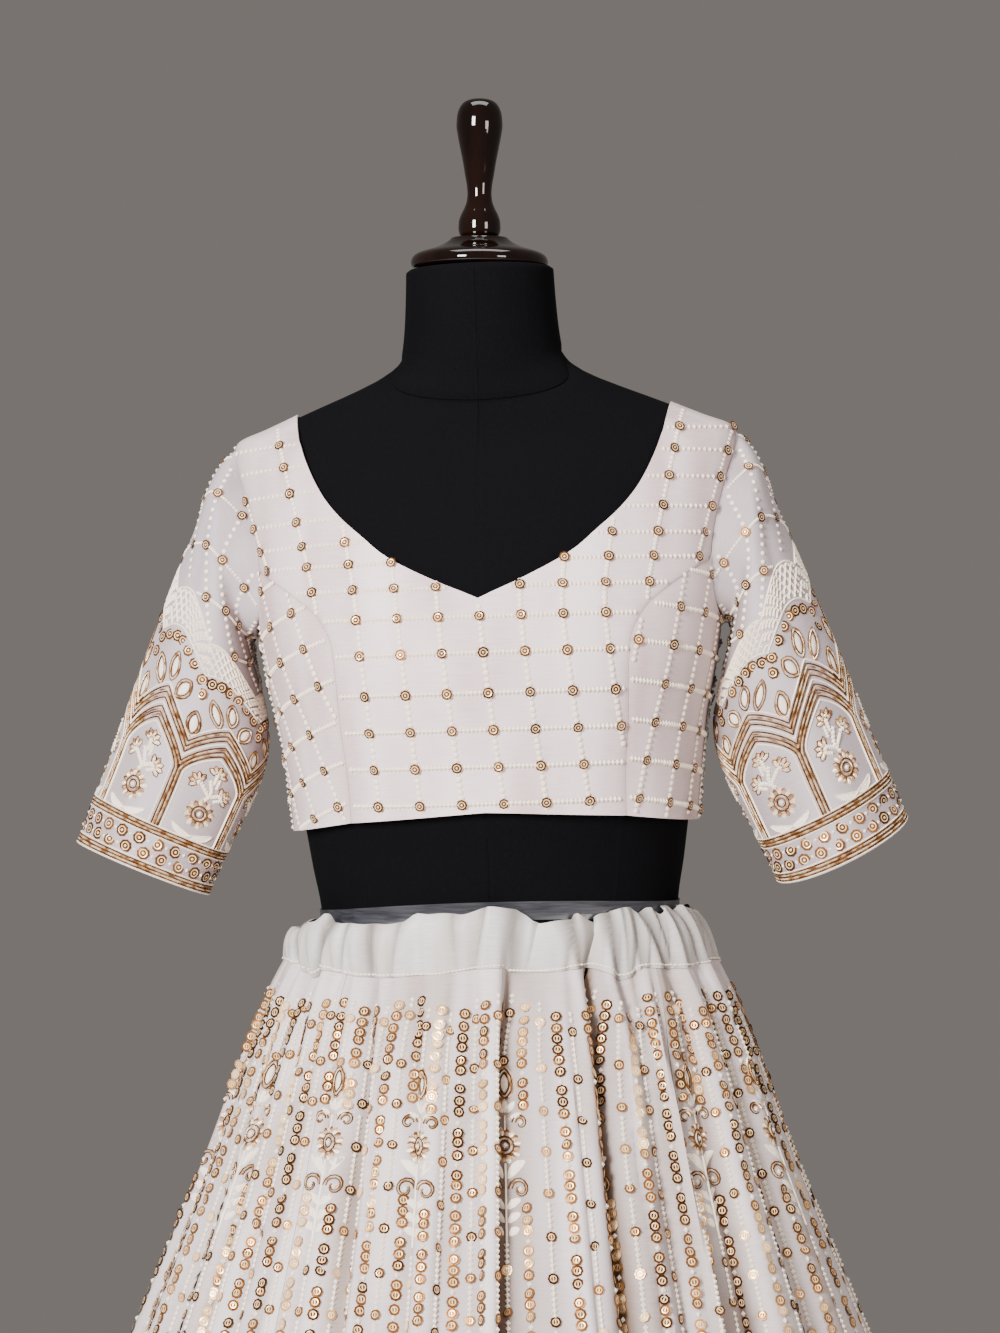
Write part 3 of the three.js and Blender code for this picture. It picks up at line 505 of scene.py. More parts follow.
def disc_places(tree):
    """How far a point lies from the middle of its own sequin, and how far across it."""
    place = tree.add("ShaderNodeSeparateXYZ", {0: read_attribute(tree, "disc", "Vector")}).outputs
    squared = tree.math("MULTIPLY_ADD", place[1], place[1], tree.math("MULTIPLY", place[0], place[0]))
    return tree.math("SQRT", squared), tree.math("ABSOLUTE", place[0])


def sequin_pale(tree):
    """From the rim in: gold, a pale ring, a gold groove, a pale eye, and a bar of thread across."""
    radius, across = disc_places(tree)
    rings = tree.levels(radius, (0.0, 1.0), (0.08, 1.0), (0.12, 0.0), (0.38, 0.0), (0.43, 0.9),
                        (0.55, 0.9), (0.60, 0.0), (1.0, 0.0))
    bar = tree.math("MULTIPLY", tree.math("LESS_THAN", across, 0.1), tree.math("LESS_THAN", radius, 0.4))
    return tree.math("MAXIMUM", rings, bar)


def rosette_pale(tree):
    """Two coils of dark gold thread round a pale middle."""
    radius, _ = disc_places(tree)
    return tree.levels(radius, (0.0, 1.0), (0.14, 1.0), (0.22, 0.0), (0.44, 0.0), (0.50, 1.0),
                       (0.58, 1.0), (0.64, 0.0), (1.0, 0.0))


def sequin_height(tree):
    radius, _ = disc_places(tree)
    return tree.levels(radius, (0.0, 1.0), (0.16, 0.9), (0.28, 0.0), (0.45, 0.2), (0.62, 1.0),
                       (0.8, 0.6), (1.0, 0.9))


COIL_PITCH = 0.9


def twist(tree):
    """Coils of metal thread, a pitch apart in millimetres, along the thread's own map."""
    place = tree.add("ShaderNodeSeparateXYZ", {0: read_attribute(tree, "disc", "Vector")}).outputs
    turns = tree.math("MULTIPLY_ADD", place[0], 2 * math.pi / COIL_PITCH, place[1])
    return tree.math("MULTIPLY_ADD", tree.math("SINE", turns), 0.5, 0.5)


def thread_patches(tree):
    """Short lengths of the thread painted with a shine, as painted glints, and others painted duller."""
    patches = tree.add("ShaderNodeTexNoise", {"Vector": read_attribute(tree, "disc", "Vector"),
                                              "Scale": 0.13, "Detail": 1.5})
    return patches.outputs["Fac"]


# Painted highlight: the thread's brightness rises and falls with the patches.
def thread_shade(tree):
    varied = tree.levels(thread_patches(tree), (0.38, 0.68), (0.48, 0.97), (0.64, 1.0))
    return tree.math("MULTIPLY", own_shade(tree), varied)


# Painted glint: the thread is painted paler where a patch shines, and on the tops of its coils.
def thread_pale(tree):
    shine = tree.levels(thread_patches(tree), (0.46, 0.05), (0.57, 1.0))
    brighter = tree.math("MULTIPLY", shine, own_shade(tree))
    return tree.math("MULTIPLY", brighter, tree.math("MULTIPLY_ADD", twist(tree), 0.4, 0.6))


sequin_gold = metal("sequin_gold", sequin_pale, sequin_height)
rosette_gold = metal("rosette_gold", rosette_pale, sequin_height, glints_from=0.0)
zari_gold = metal("zari_gold", thread_pale, twist, thread_shade, glints_from=0.0)
print("metals", sequin_gold.name, zari_gold.name)

# %% [markdown]
# ## Cream thread, jersey, tape, wood and enamel
# The cream thread is a soft mercerised cotton. The form's cover is a dull black jersey and its waist
# tape a shiny satin. The cap and the finial are turned wood, stained nearly black and polished.

# %% Other materials
def plain_finish(name, colour_stops, scale, bump=0.1, distance=0.0002, roughness=0.6, stretch=(1, 1, 1),
                 **constants):
    """A finish from one stretched noise: its colour, its roughness and its relief."""
    material, tree, shader = new_material(name)
    source = tree.add("ShaderNodeTexCoord").outputs["Object"]
    stretched = tree.add("ShaderNodeVectorMath", {0: source, 1: stretch}, operation="MULTIPLY")
    noise = tree.add("ShaderNodeTexNoise", {"Vector": stretched.outputs[0], "Scale": scale, "Detail": 3.0})
    grain = noise.outputs["Fac"]
    tree.join(tree.ramp(grain, *colour_stops), shader.inputs["Base Color"])
    tree.join(tree.math("MULTIPLY_ADD", grain, 0.16, roughness - 0.08), shader.inputs["Roughness"])
    set_relief(tree, shader, grain, bump, distance)
    set_constants(shader, **constants)
    return material


cream_thread = plain_finish("cream_thread", ((0.3, (0.78, 0.64, 0.51)), (0.7, (0.95, 0.83, 0.69))), 900.0,
                            bump=0.3, roughness=0.6, Sheen_Weight=0.3)
black_jersey = plain_finish("black_jersey",
                            ((0.35, (0.0012, 0.0011, 0.0015)), (0.75, (0.0030, 0.0027, 0.0037))), 1100.0,
                            bump=0.35, roughness=0.9, stretch=(1, 1, 0.55), Specular_IOR_Level=0.06)
black_satin = plain_finish("black_satin", ((0.3, (0.012, 0.012, 0.016)), (0.7, (0.036, 0.036, 0.045))), 260.0,
                           bump=0.15, distance=0.0004, roughness=0.32, stretch=(0.2, 0.2, 2),
                           Specular_IOR_Level=0.9, Anisotropic=0.5)
dark_wood = plain_finish("dark_wood", ((0.35, (0.0018, 0.0006, 0.0004)), (0.7, (0.006, 0.0018, 0.001))), 60.0,
                         bump=0.02, roughness=0.6, stretch=(1, 1, 0.12), Specular_IOR_Level=0.0,
                         Coat_Weight=1.0, Coat_Roughness=0.04)
black_enamel = plain_finish("black_enamel", ((0.3, (0.02, 0.02, 0.021)), (0.7, (0.03, 0.03, 0.032))), 300.0,
                            bump=0.08, roughness=0.35, Coat_Weight=0.3, Coat_Roughness=0.2)
print("finishes", len(bpy.data.materials))

# %% [markdown]
# ## The form
# The cover is sewn from long panels, whose seams run down the middle and over the hips as shallow
# grooves. The neck is its own piece, and its seam drops from the nape to the front. So the torso's
# rings run up to that slanting seam, and the neck's rings start from it.

# %% The form's torso and neck
NECK_SEAM = (1512, 0.74)
FORM_SEAMS = np.array([0.0, 41.0, 90.0, 139.0, 180.0, 221.0, 270.0, 319.0])
form_angles = np.unique(np.concatenate(
    [np.arange(0, 360, 3.0)] + [(FORM_SEAMS + step) % 360 for step in (-0.9, -0.45, 0.45, 0.9)]))


def seam_groove(angle):
    gap = np.abs(turn_between(angle[..., None], FORM_SEAMS)).min(-1)
    return -0.55 * (gap < 0.3) + 0.2 * ((gap > 0.3) & (gap < 0.6))


def neck_seam_height(angle):
    height = np.full_like(angle, NECK_SEAM[0])
    for _ in range(30):
        height = NECK_SEAM[0] + NECK_SEAM[1] * form_point(angle, height)[..., 1]
    return height


def turned_in(ring, rise):
    """A smaller ring inside an end ring, where the cover is turned under."""
    smaller = ring * 0.86 + ring.mean(1, keepdims=True) * 0.14
    smaller[..., 2] += rise
    return smaller


seam = neck_seam_height(form_angles)
shares = np.linspace(0, 1, 84)[:, None]
torso_z = FORM_BOTTOM + (seam - FORM_BOTTOM) * shares
angles = np.broadcast_to(form_angles, torso_z.shape)
torso_rings = off_form(angles, torso_z, seam_groove(angles) - 1.6 * smooth_step(shares, 0.994, 1))
torso_rings = np.concatenate([torso_rings, turned_in(torso_rings[-1:], -1.5)])
torso = skin_piece("form_torso_cover", worn(torso_rings), black_jersey)
finish_piece(torso, "form_jersey", "form_torso")

shares = np.linspace(0, 1, 40)[:, None]
neck_z = seam + 0.5 + (NECK_TOP - seam - 0.5) * shares
angles = np.broadcast_to(form_angles, neck_z.shape)
edge_roll = 1.5 * (1 - smooth_step(shares, 0, 0.04)) + 2.5 * smooth_step(shares, 0.96, 1) ** 2
neck_rings = off_form(angles, neck_z, seam_groove(angles) * 0.5 + 0.5 - edge_roll)
neck_rings = np.concatenate([turned_in(neck_rings[:1], 1.5), neck_rings])
neck = skin_piece("form_neck_cover", worn(neck_rings), black_jersey)
finish_piece(neck, "form_jersey", "form_neck")

# %% [markdown]
# ## The waist tape
# A satin tape marks the form's waist. It is thin, its two edges are woven a little thicker, and it
# rises towards the front.

# %% The waist tape
TAPE_WIDTH = 14
around = np.linspace(180.4, 539.6, 181)
tape_foot = 1070 + 7 * np.maximum(cosine(around), 0) ** 2
up = np.linspace(0, 1, 7)[:, None]
tape_angle, tape_z = np.broadcast_arrays(around, tape_foot + TAPE_WIDTH * up)
edge = 0.25 * (np.abs(up - 0.5) > 0.4)
ripple = 0.12 * np.sin(np.radians(around) * 61) * np.sin(np.radians(around) * 23)
tape_outer = off_form(tape_angle, tape_z, 1.3 + edge + ripple)
tape_inner = off_form(tape_angle, tape_z, np.full(tape_z.shape, 0.5))
tape_flat = stacked(np.radians(tape_angle) * 140, tape_z)[..., :2]
tape = cloth_piece("waist_tape_satin", [(worn(tape_outer), worn(tape_inner), tape_flat)], black_satin)
finish_piece(tape, "tape_satin", "waist_tape")
sheets = {tape.name: {"flat": (0.79, 0.014), "held": "stretched", "rests_on": ["form_torso_cover"]}}

# %% [markdown]
# ## Turned wood and the stand
# A cap and a finial are spun from their profiles. `curve` rounds each profile between its measures,
# and the rings close over the top.

# %% Cap, finial and stand
def turned(name, profile, centre, material, sides=72, steps=4):
    rows = table("r z", profile)
    rows["run"] = np.arange(len(rows["r"])) * 1.0
    at = np.linspace(0, len(rows["r"]) - 1, (len(rows["r"]) - 1) * steps + 1)
    radius, height = curve(rows, "r", "run")(at)[:, None], curve(rows, "z", "run")(at)[:, None]
    around = np.arange(sides) * 360 / sides
    rings = stacked(radius * sine(around), -radius * cosine(around), height + 0 * around)
    keep = radius.ravel() > 0
    return skin_piece(name, rings[keep] + np.array(centre), material)


CAP = """
51   0
52.8 1.6
53.3 4
52.6 7
50   10
44.5 12.4
36   15
28   18.4
23.6 21.4
22   23
"""
FINIAL = """
13   0
15.4 2.5
16.4 7
16.2 12
14.6 17.5
11.9 23
10   28.5
9.4  34
9.8  40
11.2 48
13   59
15.2 70
17.1 80
18   87
17.4 95
15.2 101.5
11.5 105.5
6.5  107.4
1.5  107.8
"""
BASE = """
186 0
190 4
190 12
184 17
110 22
48  30
34  40
30  62
"""
CAP_PLACE = (-22.3, 0, NECK_TOP + 0.6)
finish_piece(turned("neck_cap_wood", CAP, CAP_PLACE, dark_wood), "cap_wood", "neck_cap")
finial_place = (CAP_PLACE[0], 0, CAP_PLACE[2] + 23.3)
finish_piece(turned("neck_finial_wood", FINIAL, finial_place, dark_wood), "cap_wood", "neck_finial")
finish_piece(turned("stand_base_cast", BASE, (0, 0, 0), black_enamel), "stand_metal", "stand_base")
for node in ("pole_socket", "stand_pole"):
    low, high = (np.array(corner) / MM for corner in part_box(node))
    radius, height = (high[0] - low[0]) / 2, high[2] - low[2]
    tube = f"{radius - 1} 0\n{radius} 1\n{radius} {height - 1}\n{radius - 1} {height}"
    piece = turned(f"{node}_tube", tube, (0, 0, low[2]), black_enamel, sides=64, steps=2)
    finish_piece(piece, "stand_metal", node)

# %% [markdown]
# ## The choli's panels
# The choli is cut as a front between two princess seams, two front sides, two half backs and two
# sleeves. Each panel is drawn as a patch of (angle, height) places between its four edges, laid on the
# form with the ease that the cloth has there. A faint relief keeps the cloth from looking moulded:
# it lifts a little below the bust, and pulls towards the armholes.

# %% The choli's edges
CHOLI_WALL = 1.4
# The width and length of the cloth for each piece, in metres, and the area of the cut piece.
CUTS = {
    "front_centre": {"flat": (0.39, 0.33), "area": 0.0686},
    "front_side": {"flat": (0.15, 0.21), "area": 0.022},
    "back": {"flat": (0.26, 0.33), "area": 0.059},
    "sleeve": {"flat": (0.38, 0.30), "area": 0.0878},
}
choli_ease = curve(table("z ease", """
1140 8.2
1165 6.5
1200 4.2
1250 2.4
1300 2.2
1345 2.6
1400 2.4
1440 3.4
1462 1.1
1480 1.1
"""), "ease")
neckline = table("z half", """
1318   0
1332   33
1352.5 71
1366   86.5
1383   105
1399   118
1419   129
1442   138
1466   144
""")
back_neckline = table("row z half", """
0 1392   0
1 1393.5 32
2 1398   64
3 1408   97
4 1424   121
5 1440   132
6 1451   138
7 1459   141.5
8 1464   143.5
9 1466   144
""")
princess_seam = table("z half", """
1152 100
1195 103
1230 107
1262 108.5
1286 111
1307 121
1325 139
1345 166
""")
neck_half = curve(neckline, "half")
princess_half = curve(princess_seam, "half")
HEM_FRONT, HEM_SIDE, HEM_BACK, BACK_NECK = 1161, 1147, 1150, 1392
SHOULDER_TIP, STRAP_CORNER, V_POINT = 1442.5, 1466, 1318
ARMHOLE_MIDDLE, ARMHOLE_RISE, PRINCESS_TURN = 1371, 71.5, 108


def choli_relief(angle, z):
    """Soft lifts and pulls of the worn cloth, in millimetres."""
    low = smooth_step(z, 1290, 1160)
    waves = 0.7 * sine(angle * 7 + 40) * sine(angle * 2 - 30) * low
    pulls = 0.5 * sine(angle * 5 + z * 1.1) * smooth_step(np.abs(angle), 45, 80) * smooth_step(z, 1200, 1300)
    return waves + pulls * smooth_step(z, 1440, 1400)


def choli_outer(angle, z):
    return off_form(angle, z, choli_ease(z) + CHOLI_WALL + choli_relief(angle, z))


def choli_inner(angle, z):
    return off_form(angle, z, choli_ease(z) + choli_relief(angle, z))


def hem_height(angle):
    across = cosine(angle)
    return HEM_SIDE + np.where(across > 0, HEM_FRONT - HEM_SIDE, HEM_BACK - HEM_SIDE) * across ** 2


def armhole(turn):
    across = sine(turn) * (1 - 0.35 * cosine(turn))
    angle = 90 - across * np.where(across > 0, 21, 28)
    return stacked(angle, ARMHOLE_MIDDLE + ARMHOLE_RISE * cosine(turn))


PRINCESS_END = armhole(PRINCESS_TURN)
UNDERARM = armhole(180)


def princess(share):
    low = hem_height(angle_at(100, 1152))
    z = low + (PRINCESS_END[1] - low) * share
    miss = PRINCESS_END[0] - angle_at(princess_half(PRINCESS_END[1]), PRINCESS_END[1])
    bend = np.maximum((share - 0.8) / 0.2, 0)
    return stacked(angle_at(princess_half(z), z) + miss * bend, z)


def mix(a, b, share):
    return a + (b - a) * np.asarray(share)[..., None]


def patch(bottom, top, left, right, rows, cols):
    """Places between four edges, each a function of a share from 0 to 1."""
    across = np.linspace(0, 1, cols)[None, :]
    up = np.linspace(0, 1, rows)[:, None]
    edge_sum = mix(bottom(across), top(across), up) + mix(left(up), right(up), across)
    low = mix(bottom(np.zeros(1)), bottom(np.ones(1)), across)
    high = mix(top(np.zeros(1)), top(np.ones(1)), across)
    return edge_sum - mix(low, high, up)


def hem_edge(start, end):
    def edge(share):
        angle = start + (end - start) * share
        return stacked(angle, hem_height(angle))
    return edge


def front_centre_places(rows, cols):
    """Half of the front: from the hem to the point of the V, then up the strap."""
    row = np.linspace(0, 17, rows)
    share = np.clip(row / 8, 0, 1)
    low = stacked(0, hem_height(0) + (V_POINT - hem_height(0)) * share)
    climb = np.clip((row - 8) / 9, 0, 1)
    z = V_POINT + (STRAP_CORNER - V_POINT) * sine(climb * 90)
    left = np.where((row <= 8)[:, None], low, stacked(angle_at(neck_half(z), z), z))
    right = np.where((row <= 8)[:, None], princess(share), armhole(PRINCESS_TURN * (1 - climb)))
    left[-1], right[-1] = (90, STRAP_CORNER), (90, SHOULDER_TIP)
    return mix(left[:, None], right[:, None], np.linspace(0, 1, cols)[None, :])


def back_places(rows, cols):
    """Half of the back, from the side seam to the middle."""
    row = np.linspace(0, 15, rows)[:, None]
    across = np.linspace(0, 1, cols)[None, :]
    share = np.clip(row / 6, 0, 1)
    side = mix(stacked(90, HEM_SIDE), UNDERARM, share)
    middle = mix(stacked(180, HEM_BACK), stacked(180, BACK_NECK), share)
    low = mix(side, middle, across)
    low[..., 1] = side[..., 1] + (middle - side)[..., 1] * across ** (1 + 0.9 * share)
    low[..., 1] += (hem_height(low[..., 0]) - low[..., 1]) * (1 - share) ** 3
    climb = np.clip(row - 6, 0, 9)
    z = curve(back_neckline, "z", "row")(climb)
    neck = stacked(180 - angle_at(curve(back_neckline, "half", "row")(climb), z), z)
    high = mix(armhole(180 + 180 * (climb / 9) ** 1.12), neck, across)
    return np.where((row <= 6)[..., None], low, high)


def underarm_curve(share):
    return armhole(PRINCESS_TURN + (180 - PRINCESS_TURN) * share)


def side_seam(share):
    return mix(stacked(90, HEM_SIDE), UNDERARM, share)


side_places = patch(hem_edge(princess(0)[0], 90), underarm_curve, princess, side_seam, 49, 31)

# %% [markdown]
# A seam draws its two pieces slightly in, so every panel dips where it meets the next one. Edges that
# are turned under, at the neck and the hem, stand a little prouder instead.

# %% Sew the body of the choli
def choli_panel(node, halves, cut):
    patches = []
    for places, side, left_seam, right_seam in halves:
        angle, z = places[..., 0], places[..., 1]
        share = np.linspace(0, 1, angle.shape[1])[None, :]
        shift = 0.057 * (left_seam * (share == 0) - right_seam * (share == 1))
        near_seam = left_seam * np.exp(-share * 26) + right_seam * np.exp(-(1 - share) * 26)
        rim = np.exp(-np.maximum(z - hem_height(angle), 0) / 2.2)
        sink = 0.7 * rim - 0.9 * near_seam
        outer = choli_outer(side * (angle + shift), z) + form_normal(side * angle, z) * sink[..., None]
        inner = choli_inner(side * (angle + shift), z)
        inner += form_normal(side * angle, z) * np.minimum(sink, 0)[..., None] * 0.7
        # Painted shade: the cloth is painted darker towards the sides, where it turns from the light, and
        # along the seams.
        cloth = stacked(side * np.radians(angle) * 165, z, 0.42 * np.abs(sine(angle)) ** 3 + 0.15 * near_seam)
        if side < 0:
            outer, inner, cloth = outer[:, ::-1], inner[:, ::-1], cloth[:, ::-1]
        patches.append((worn(outer), worn(inner), cloth))
    piece = cloth_piece(f"{node}_cloth", patches, choli_cloth)
    finish_piece(piece, "choli_georgette", node)
    sheets[piece.name] = {**CUTS[cut], "held": "stretched", "rests_on": ["form_torso_cover"]}


front_places = front_centre_places(84, 41)
back_half = back_places(76, 33)
choli_panel("choli_front_centre", [(front_places, -1, 0, 1), (front_places, 1, 0, 1)], "front_centre")
for name, side in (("left", 1), ("right", -1)):
    choli_panel(f"choli_front_side_{name}", [(side_places, side, 1, 1)], "front_side")
    choli_panel(f"choli_back_{name}", [(back_half, side, 1, 1)], "back")

# %% [markdown]
# ## Sleeves
# A sleeve is one piece with its seam under the arm. Rings from the armhole to the cuff give its shape,
# and a spline through the rings makes it smooth. The empty sleeve keeps a soft fold down its inner side,
# and the cuff swings away from the body.

# %% Sleeves
sleeve_rings = table("outX outZ inX inZ front back", """
212 1421 187 1291 49 57
227 1380 183 1269 53 57
242 1342 177 1243 54 56
259 1300 173 1217 53 54
276 1256 178 1189 51 52
292 1213 191 1160 49 49
307 1177 206 1129 47 47
322 1141 222 1097 46 46
""")
SLEEVE_WALL = 1.3
SLEEVE_SWING = 6


def through(rings, steps):
    """A Catmull-Rom spline through rings of points, with even steps between two rings."""
    before = np.concatenate([2 * rings[:1] - rings[1:2], rings, 2 * rings[-1:] - rings[-2:-1]])
    rows = []
    for i in range(len(rings) - 1):
        a, b, c, d = before[i:i + 4]
        for t in np.arange(steps) / steps:
            rows.append(0.5 * (2 * b + (c - a) * t + (2 * a - 5 * b + 4 * c - d) * t ** 2
                               + (3 * b - a - 3 * c + d) * t ** 3))
    return np.array(rows + [rings[-1]])


def sleeve_grid(side, droop, cols, steps):
    """Rows from the armhole to the cuff, columns once round from the seam under the arm."""
    turn = np.linspace(180.4, 539.6, cols)
    foot = armhole(turn % 360)
    grid = [choli_outer(*foot.T) + np.array([0.3, 0, 0])]
    count = len(sleeve_rings["front"])
    for i in range(count):
        ring = {name: values[i] for name, values in sleeve_rings.items()}
        down = (i + 1) / count
        across = sine(turn)
        middle_x = (ring["outX"] + ring["inX"]) / 2 - side * SLEEVE_SWING * down
        x = middle_x + (ring["outX"] - ring["inX"]) / 2 * cosine(turn)
        z = (ring["outZ"] + ring["inZ"]) / 2 + (ring["outZ"] - ring["inZ"]) / 2 * cosine(turn)
        y = np.where(across > 0, -ring["front"], -ring["back"]) * across
        grid.append(stacked(x, y, z - droop * across * down ** 2))
    return turn, through(np.array(grid), steps)


def sleeve_relief(turn, rows):
    """Soft folds: one down the inner side, one across the elbow, and a little fullness at the head."""
    down = np.linspace(0, 1, rows)[:, None]
    inner_fold = -2.4 * np.exp(-((turn - 292 - 18 * down) / 13) ** 2) * smooth_step(down, 0.12, 0.35)
    inner_fold += 1.6 * np.exp(-((turn - 322 - 14 * down) / 15) ** 2) * smooth_step(down, 0.1, 0.3)
    front_fold = -1.7 * np.exp(-((turn - 405 - 26 * down) / 9) ** 2)
    front_fold = front_fold * np.sin(np.pi * np.clip(down * 1.5, 0, 1))
    waves = 0.8 * sine(turn * 5 + 90 * down) * smooth_step(down, 0.15, 0.4)
    return (inner_fold + front_fold + waves) * smooth_step(down, 1, 0.93)


sleeves = {}
for name, side, droop in (("left", 1, 10), ("right", -1, -2)):
    turn, outer = sleeve_grid(side, droop, 97, 8)
    rows = len(outer)
    normal = grid_normals(outer)
    normal *= np.sign((normal[rows // 2] * (outer[rows // 2] - outer[rows // 2].mean(0))).sum())
    outer = outer + normal * sleeve_relief(turn, rows)[..., None]
    down = np.linspace(0, 1, rows)[:, None]
    head_seam = -1.2 * np.exp(-down * 50)
    cuff_rim = 0.5 * smooth_step(down, 0.985, 0.995)
    shoulder = form_normal(*armhole(turn % 360).T)
    upper = (np.clip((1 + cosine(turn)) * 0.8, 0, 1) * np.exp(-down * 14))[..., None]
    through_wall = unit(normal * (1 - upper) + shoulder * upper)
    inner = outer - through_wall * SLEEVE_WALL
    outer = outer + normal * (head_seam + cuff_rim)[..., None]
    length = np.concatenate([[0], np.cumsum(np.linalg.norm(np.diff(outer, axis=0), axis=-1).mean(1))])
    # Painted shade: the sleeve's inner side, which faces the body, is painted darker.
    cloth = stacked(np.radians(turn) * 55, -length[:, None], 0.35 * np.clip(-normal[..., 0], 0, 1))
    mirror = np.array([side, 1, 1])
    sleeves[name] = {"outer": worn(outer * mirror), "normal": normal * mirror @ LEAN.T,
                     "turn": turn, "length": length}
    piece = cloth_piece(f"choli_sleeve_{name}_cloth", [(worn(outer * mirror), worn(inner * mirror), cloth)],
                        painted_shade_sleeve_cloth, flip=side < 0)
    finish_piece(piece, "choli_georgette", f"choli_sleeve_{name}")
    sheets[piece.name] = {**CUTS["sleeve"], "held": "hung",
                          "rests_on": ["choli_front_centre_cloth", f"choli_back_{name}_cloth"]}
    print(f"sleeve {name}: {length[-1]:.0f} mm long")

# %% [markdown]
# ## How a gathered skirt hangs
# The skirt is eight gored kalis, sewn side by side and drawn up on the casing. The drawn-up cloth has
# to go somewhere, so it stands in folds: broad crests with a trough between each pair, and narrow
# creases where the string has pulled the cloth tight on itself. A fold starts at its place under the
# casing and wanders to its place at the hem, deeper and wider as it falls.

# %% The folds
SKIRT_X, SKIRT_WALL, SKIRT_TOP, SKIRT_HEM = -4.5, 1.6, 1034, 12
skirt_outline = table("z width front back", """
12   522   496 502
230  468   440 448
420  411   380 392
600  349   313 329
751  288   252 269
831  255   220 237
900  227   190 207
940  212.5 170 187
970  201.5 154 170
1009 185   132 146
1034 171   113 126
""")
skirt_width = curve(skirt_outline, "width")
skirt_front = curve(skirt_outline, "front")
skirt_back = curve(skirt_outline, "back")
gathers = table("top hem deep deepHem", """
-83 -78 8  26
-70 -60 6  20
-58 -43 10 26
-47 -33 6  14
-36 -24 10 24
-22 -15 4  10
-8  -6  5  16
4.5 2   9  22
14  9   4  9
25  16  13 34
38  27  9  20
50  40  6  18
63  54  9  26
78  72  6  20
98  94  8  28
112 109 7  22
125 122 10 30
141 139 6  20
158 157 9  30
176 175 6  22
193 193 10 30
212 213 7  22
230 232 9  30
248 251 6  22
263 267 8  26
""")
# Narrow creases: their places at the top and the hem, their depth there, their width in millimetres
# there, the height at which each has opened out and faded, and the side that its cloth lies over to.
creases = table("top hem deep deepHem wide wideHem fade lay", """
-76  -70  5  14 5   16  300 .3
-64  -50  7  20 4   16  200 -.4
-51  -38  5  14 6   20  400 .3
-44  -29  5  12 4   14  500 -.3
-36  -22  8  16 5   16  400 .4
-30  -18  5  12 4   14  600 -.4
-22  -13  6  14 5   14  500 .4
-13  -8   5  10 4   14  600 -.3
-7   -3.5 5  12 4   14  500 .4
1.4  .5   16 34 3   9   100 -.5
7    4    7  14 8   24  400 0
11   8    3  6  4   14  700 .4
17.5 14.5 6  12 4   12  600 -.3
23.2 20   30 110 2.6 8  0   -.3
27.5 24.5 8  18 4   14  200 .4
33   29   8  16 5   16  400 .4
38   33   6  14 4   14  500 .4
43   37   9  30 5   18  100 -.5
48   42   6  14 4   14  400 .4
52   42   9  18 4   18  300 .4
64   57   6  18 5   20  300 -.4
76   69   9  24 4   18  200 .4
88   83   5  14 6   20  300 0
106  102  9  22 4   18  300 .4
119  116  5  12 6   20  400 -.3
133  131  9  30 4   18  100 .5
150  149  4  10 7   24  500 0
167  166  9  30 4   16  0   -.5
185  184  5  12 6   24  500 .3
203  203  9  24 4   18  200 .4
221  223  5  12 6   22  400 -.3
239  242  9  30 4   16  0   .5
256  259  5  12 6   20  400 0
272  276  8  18 4   18  300 -.4
""")
# Where the seam between the casing and the skirt lies: it is sewn level, but it rides up and down.
seam_line = table("angle z", """
-90 1040
-76 1040
-68 1038
-61 1030
-56 1037
-36 1033
-20 1036.5
0   1042
2   1038
11  1038.5
23  1041
29  1037
33  1031
41  1040
52  1038
78  1042
96  1038
112 1040
131 1035
150 1041
171 1036
188 1040
206 1035
224 1041
243 1036
258 1040
270 1040
""")
casing_creases = table("top seam deep wide", """
-84 -80 8   5
-76 -71 10  6
-66 -69 6   4
-50 -58.5 12 7
-44 -47 5   4
-35 -37 9   6
-27 -30 4   4
-13 -12 3   5
-5  -7  4   4
.7  2.2 12  7
8   6   4   4
15  21  11  6
23.4 22.5 14 4
27  32  12  6
33.5 35 6   4
36.5 40 9   5
41  49.5 12 6
47  53  6   4
55  58  10  5
62  66  7   5
68  72  10  6
77  80  8   5
92  90  6   5
108 106 5   5
121 119 7   4
137 134 4   6
151 150 7   4
169 167 5   5
187 185 7   4
205 203 4   6
219 221 7   4
237 239 5   5
254 256 6   4
268 270 5   5
""")
seam_height = curve(seam_line, "z", "angle")


def from_right_side(angle):
    """The same angle, counted from the wearer's right side, where the tables start."""
    return (angle + 90) % 360 - 90


def spread(z):
    """1 at the casing, falling towards 0 as a fold nears its place at the hem."""
    return min((float(skirt_width(SKIRT_TOP)) / float(skirt_width(z))) ** 2.2, 1)


def fallen(z):
    """0 at the casing and 1 at the hem, quicker at first: how far folds have opened out."""
    return np.clip((SKIRT_TOP - z) / (SKIRT_TOP - SKIRT_HEM), 0, 1) ** 0.8


def pinch(angle, share, narrow=1.0):
    """Sharp creases of the casing. They run on for a little way into the skirt."""
    total = np.zeros_like(angle)
    for top, seam_place, deep, wide in zip(*casing_creases.values()):
        place = seam_place + (top - seam_place) * share
        away = np.radians(turn_between(angle, place)) * 150 / wide
        away = away * np.where(away * (seam_place - top) > 0, 0.6, 2.2)
        total = np.maximum(total, 1.5 * deep * (0.55 + 0.45 * share) * np.exp(-narrow * np.abs(away)))
    return total


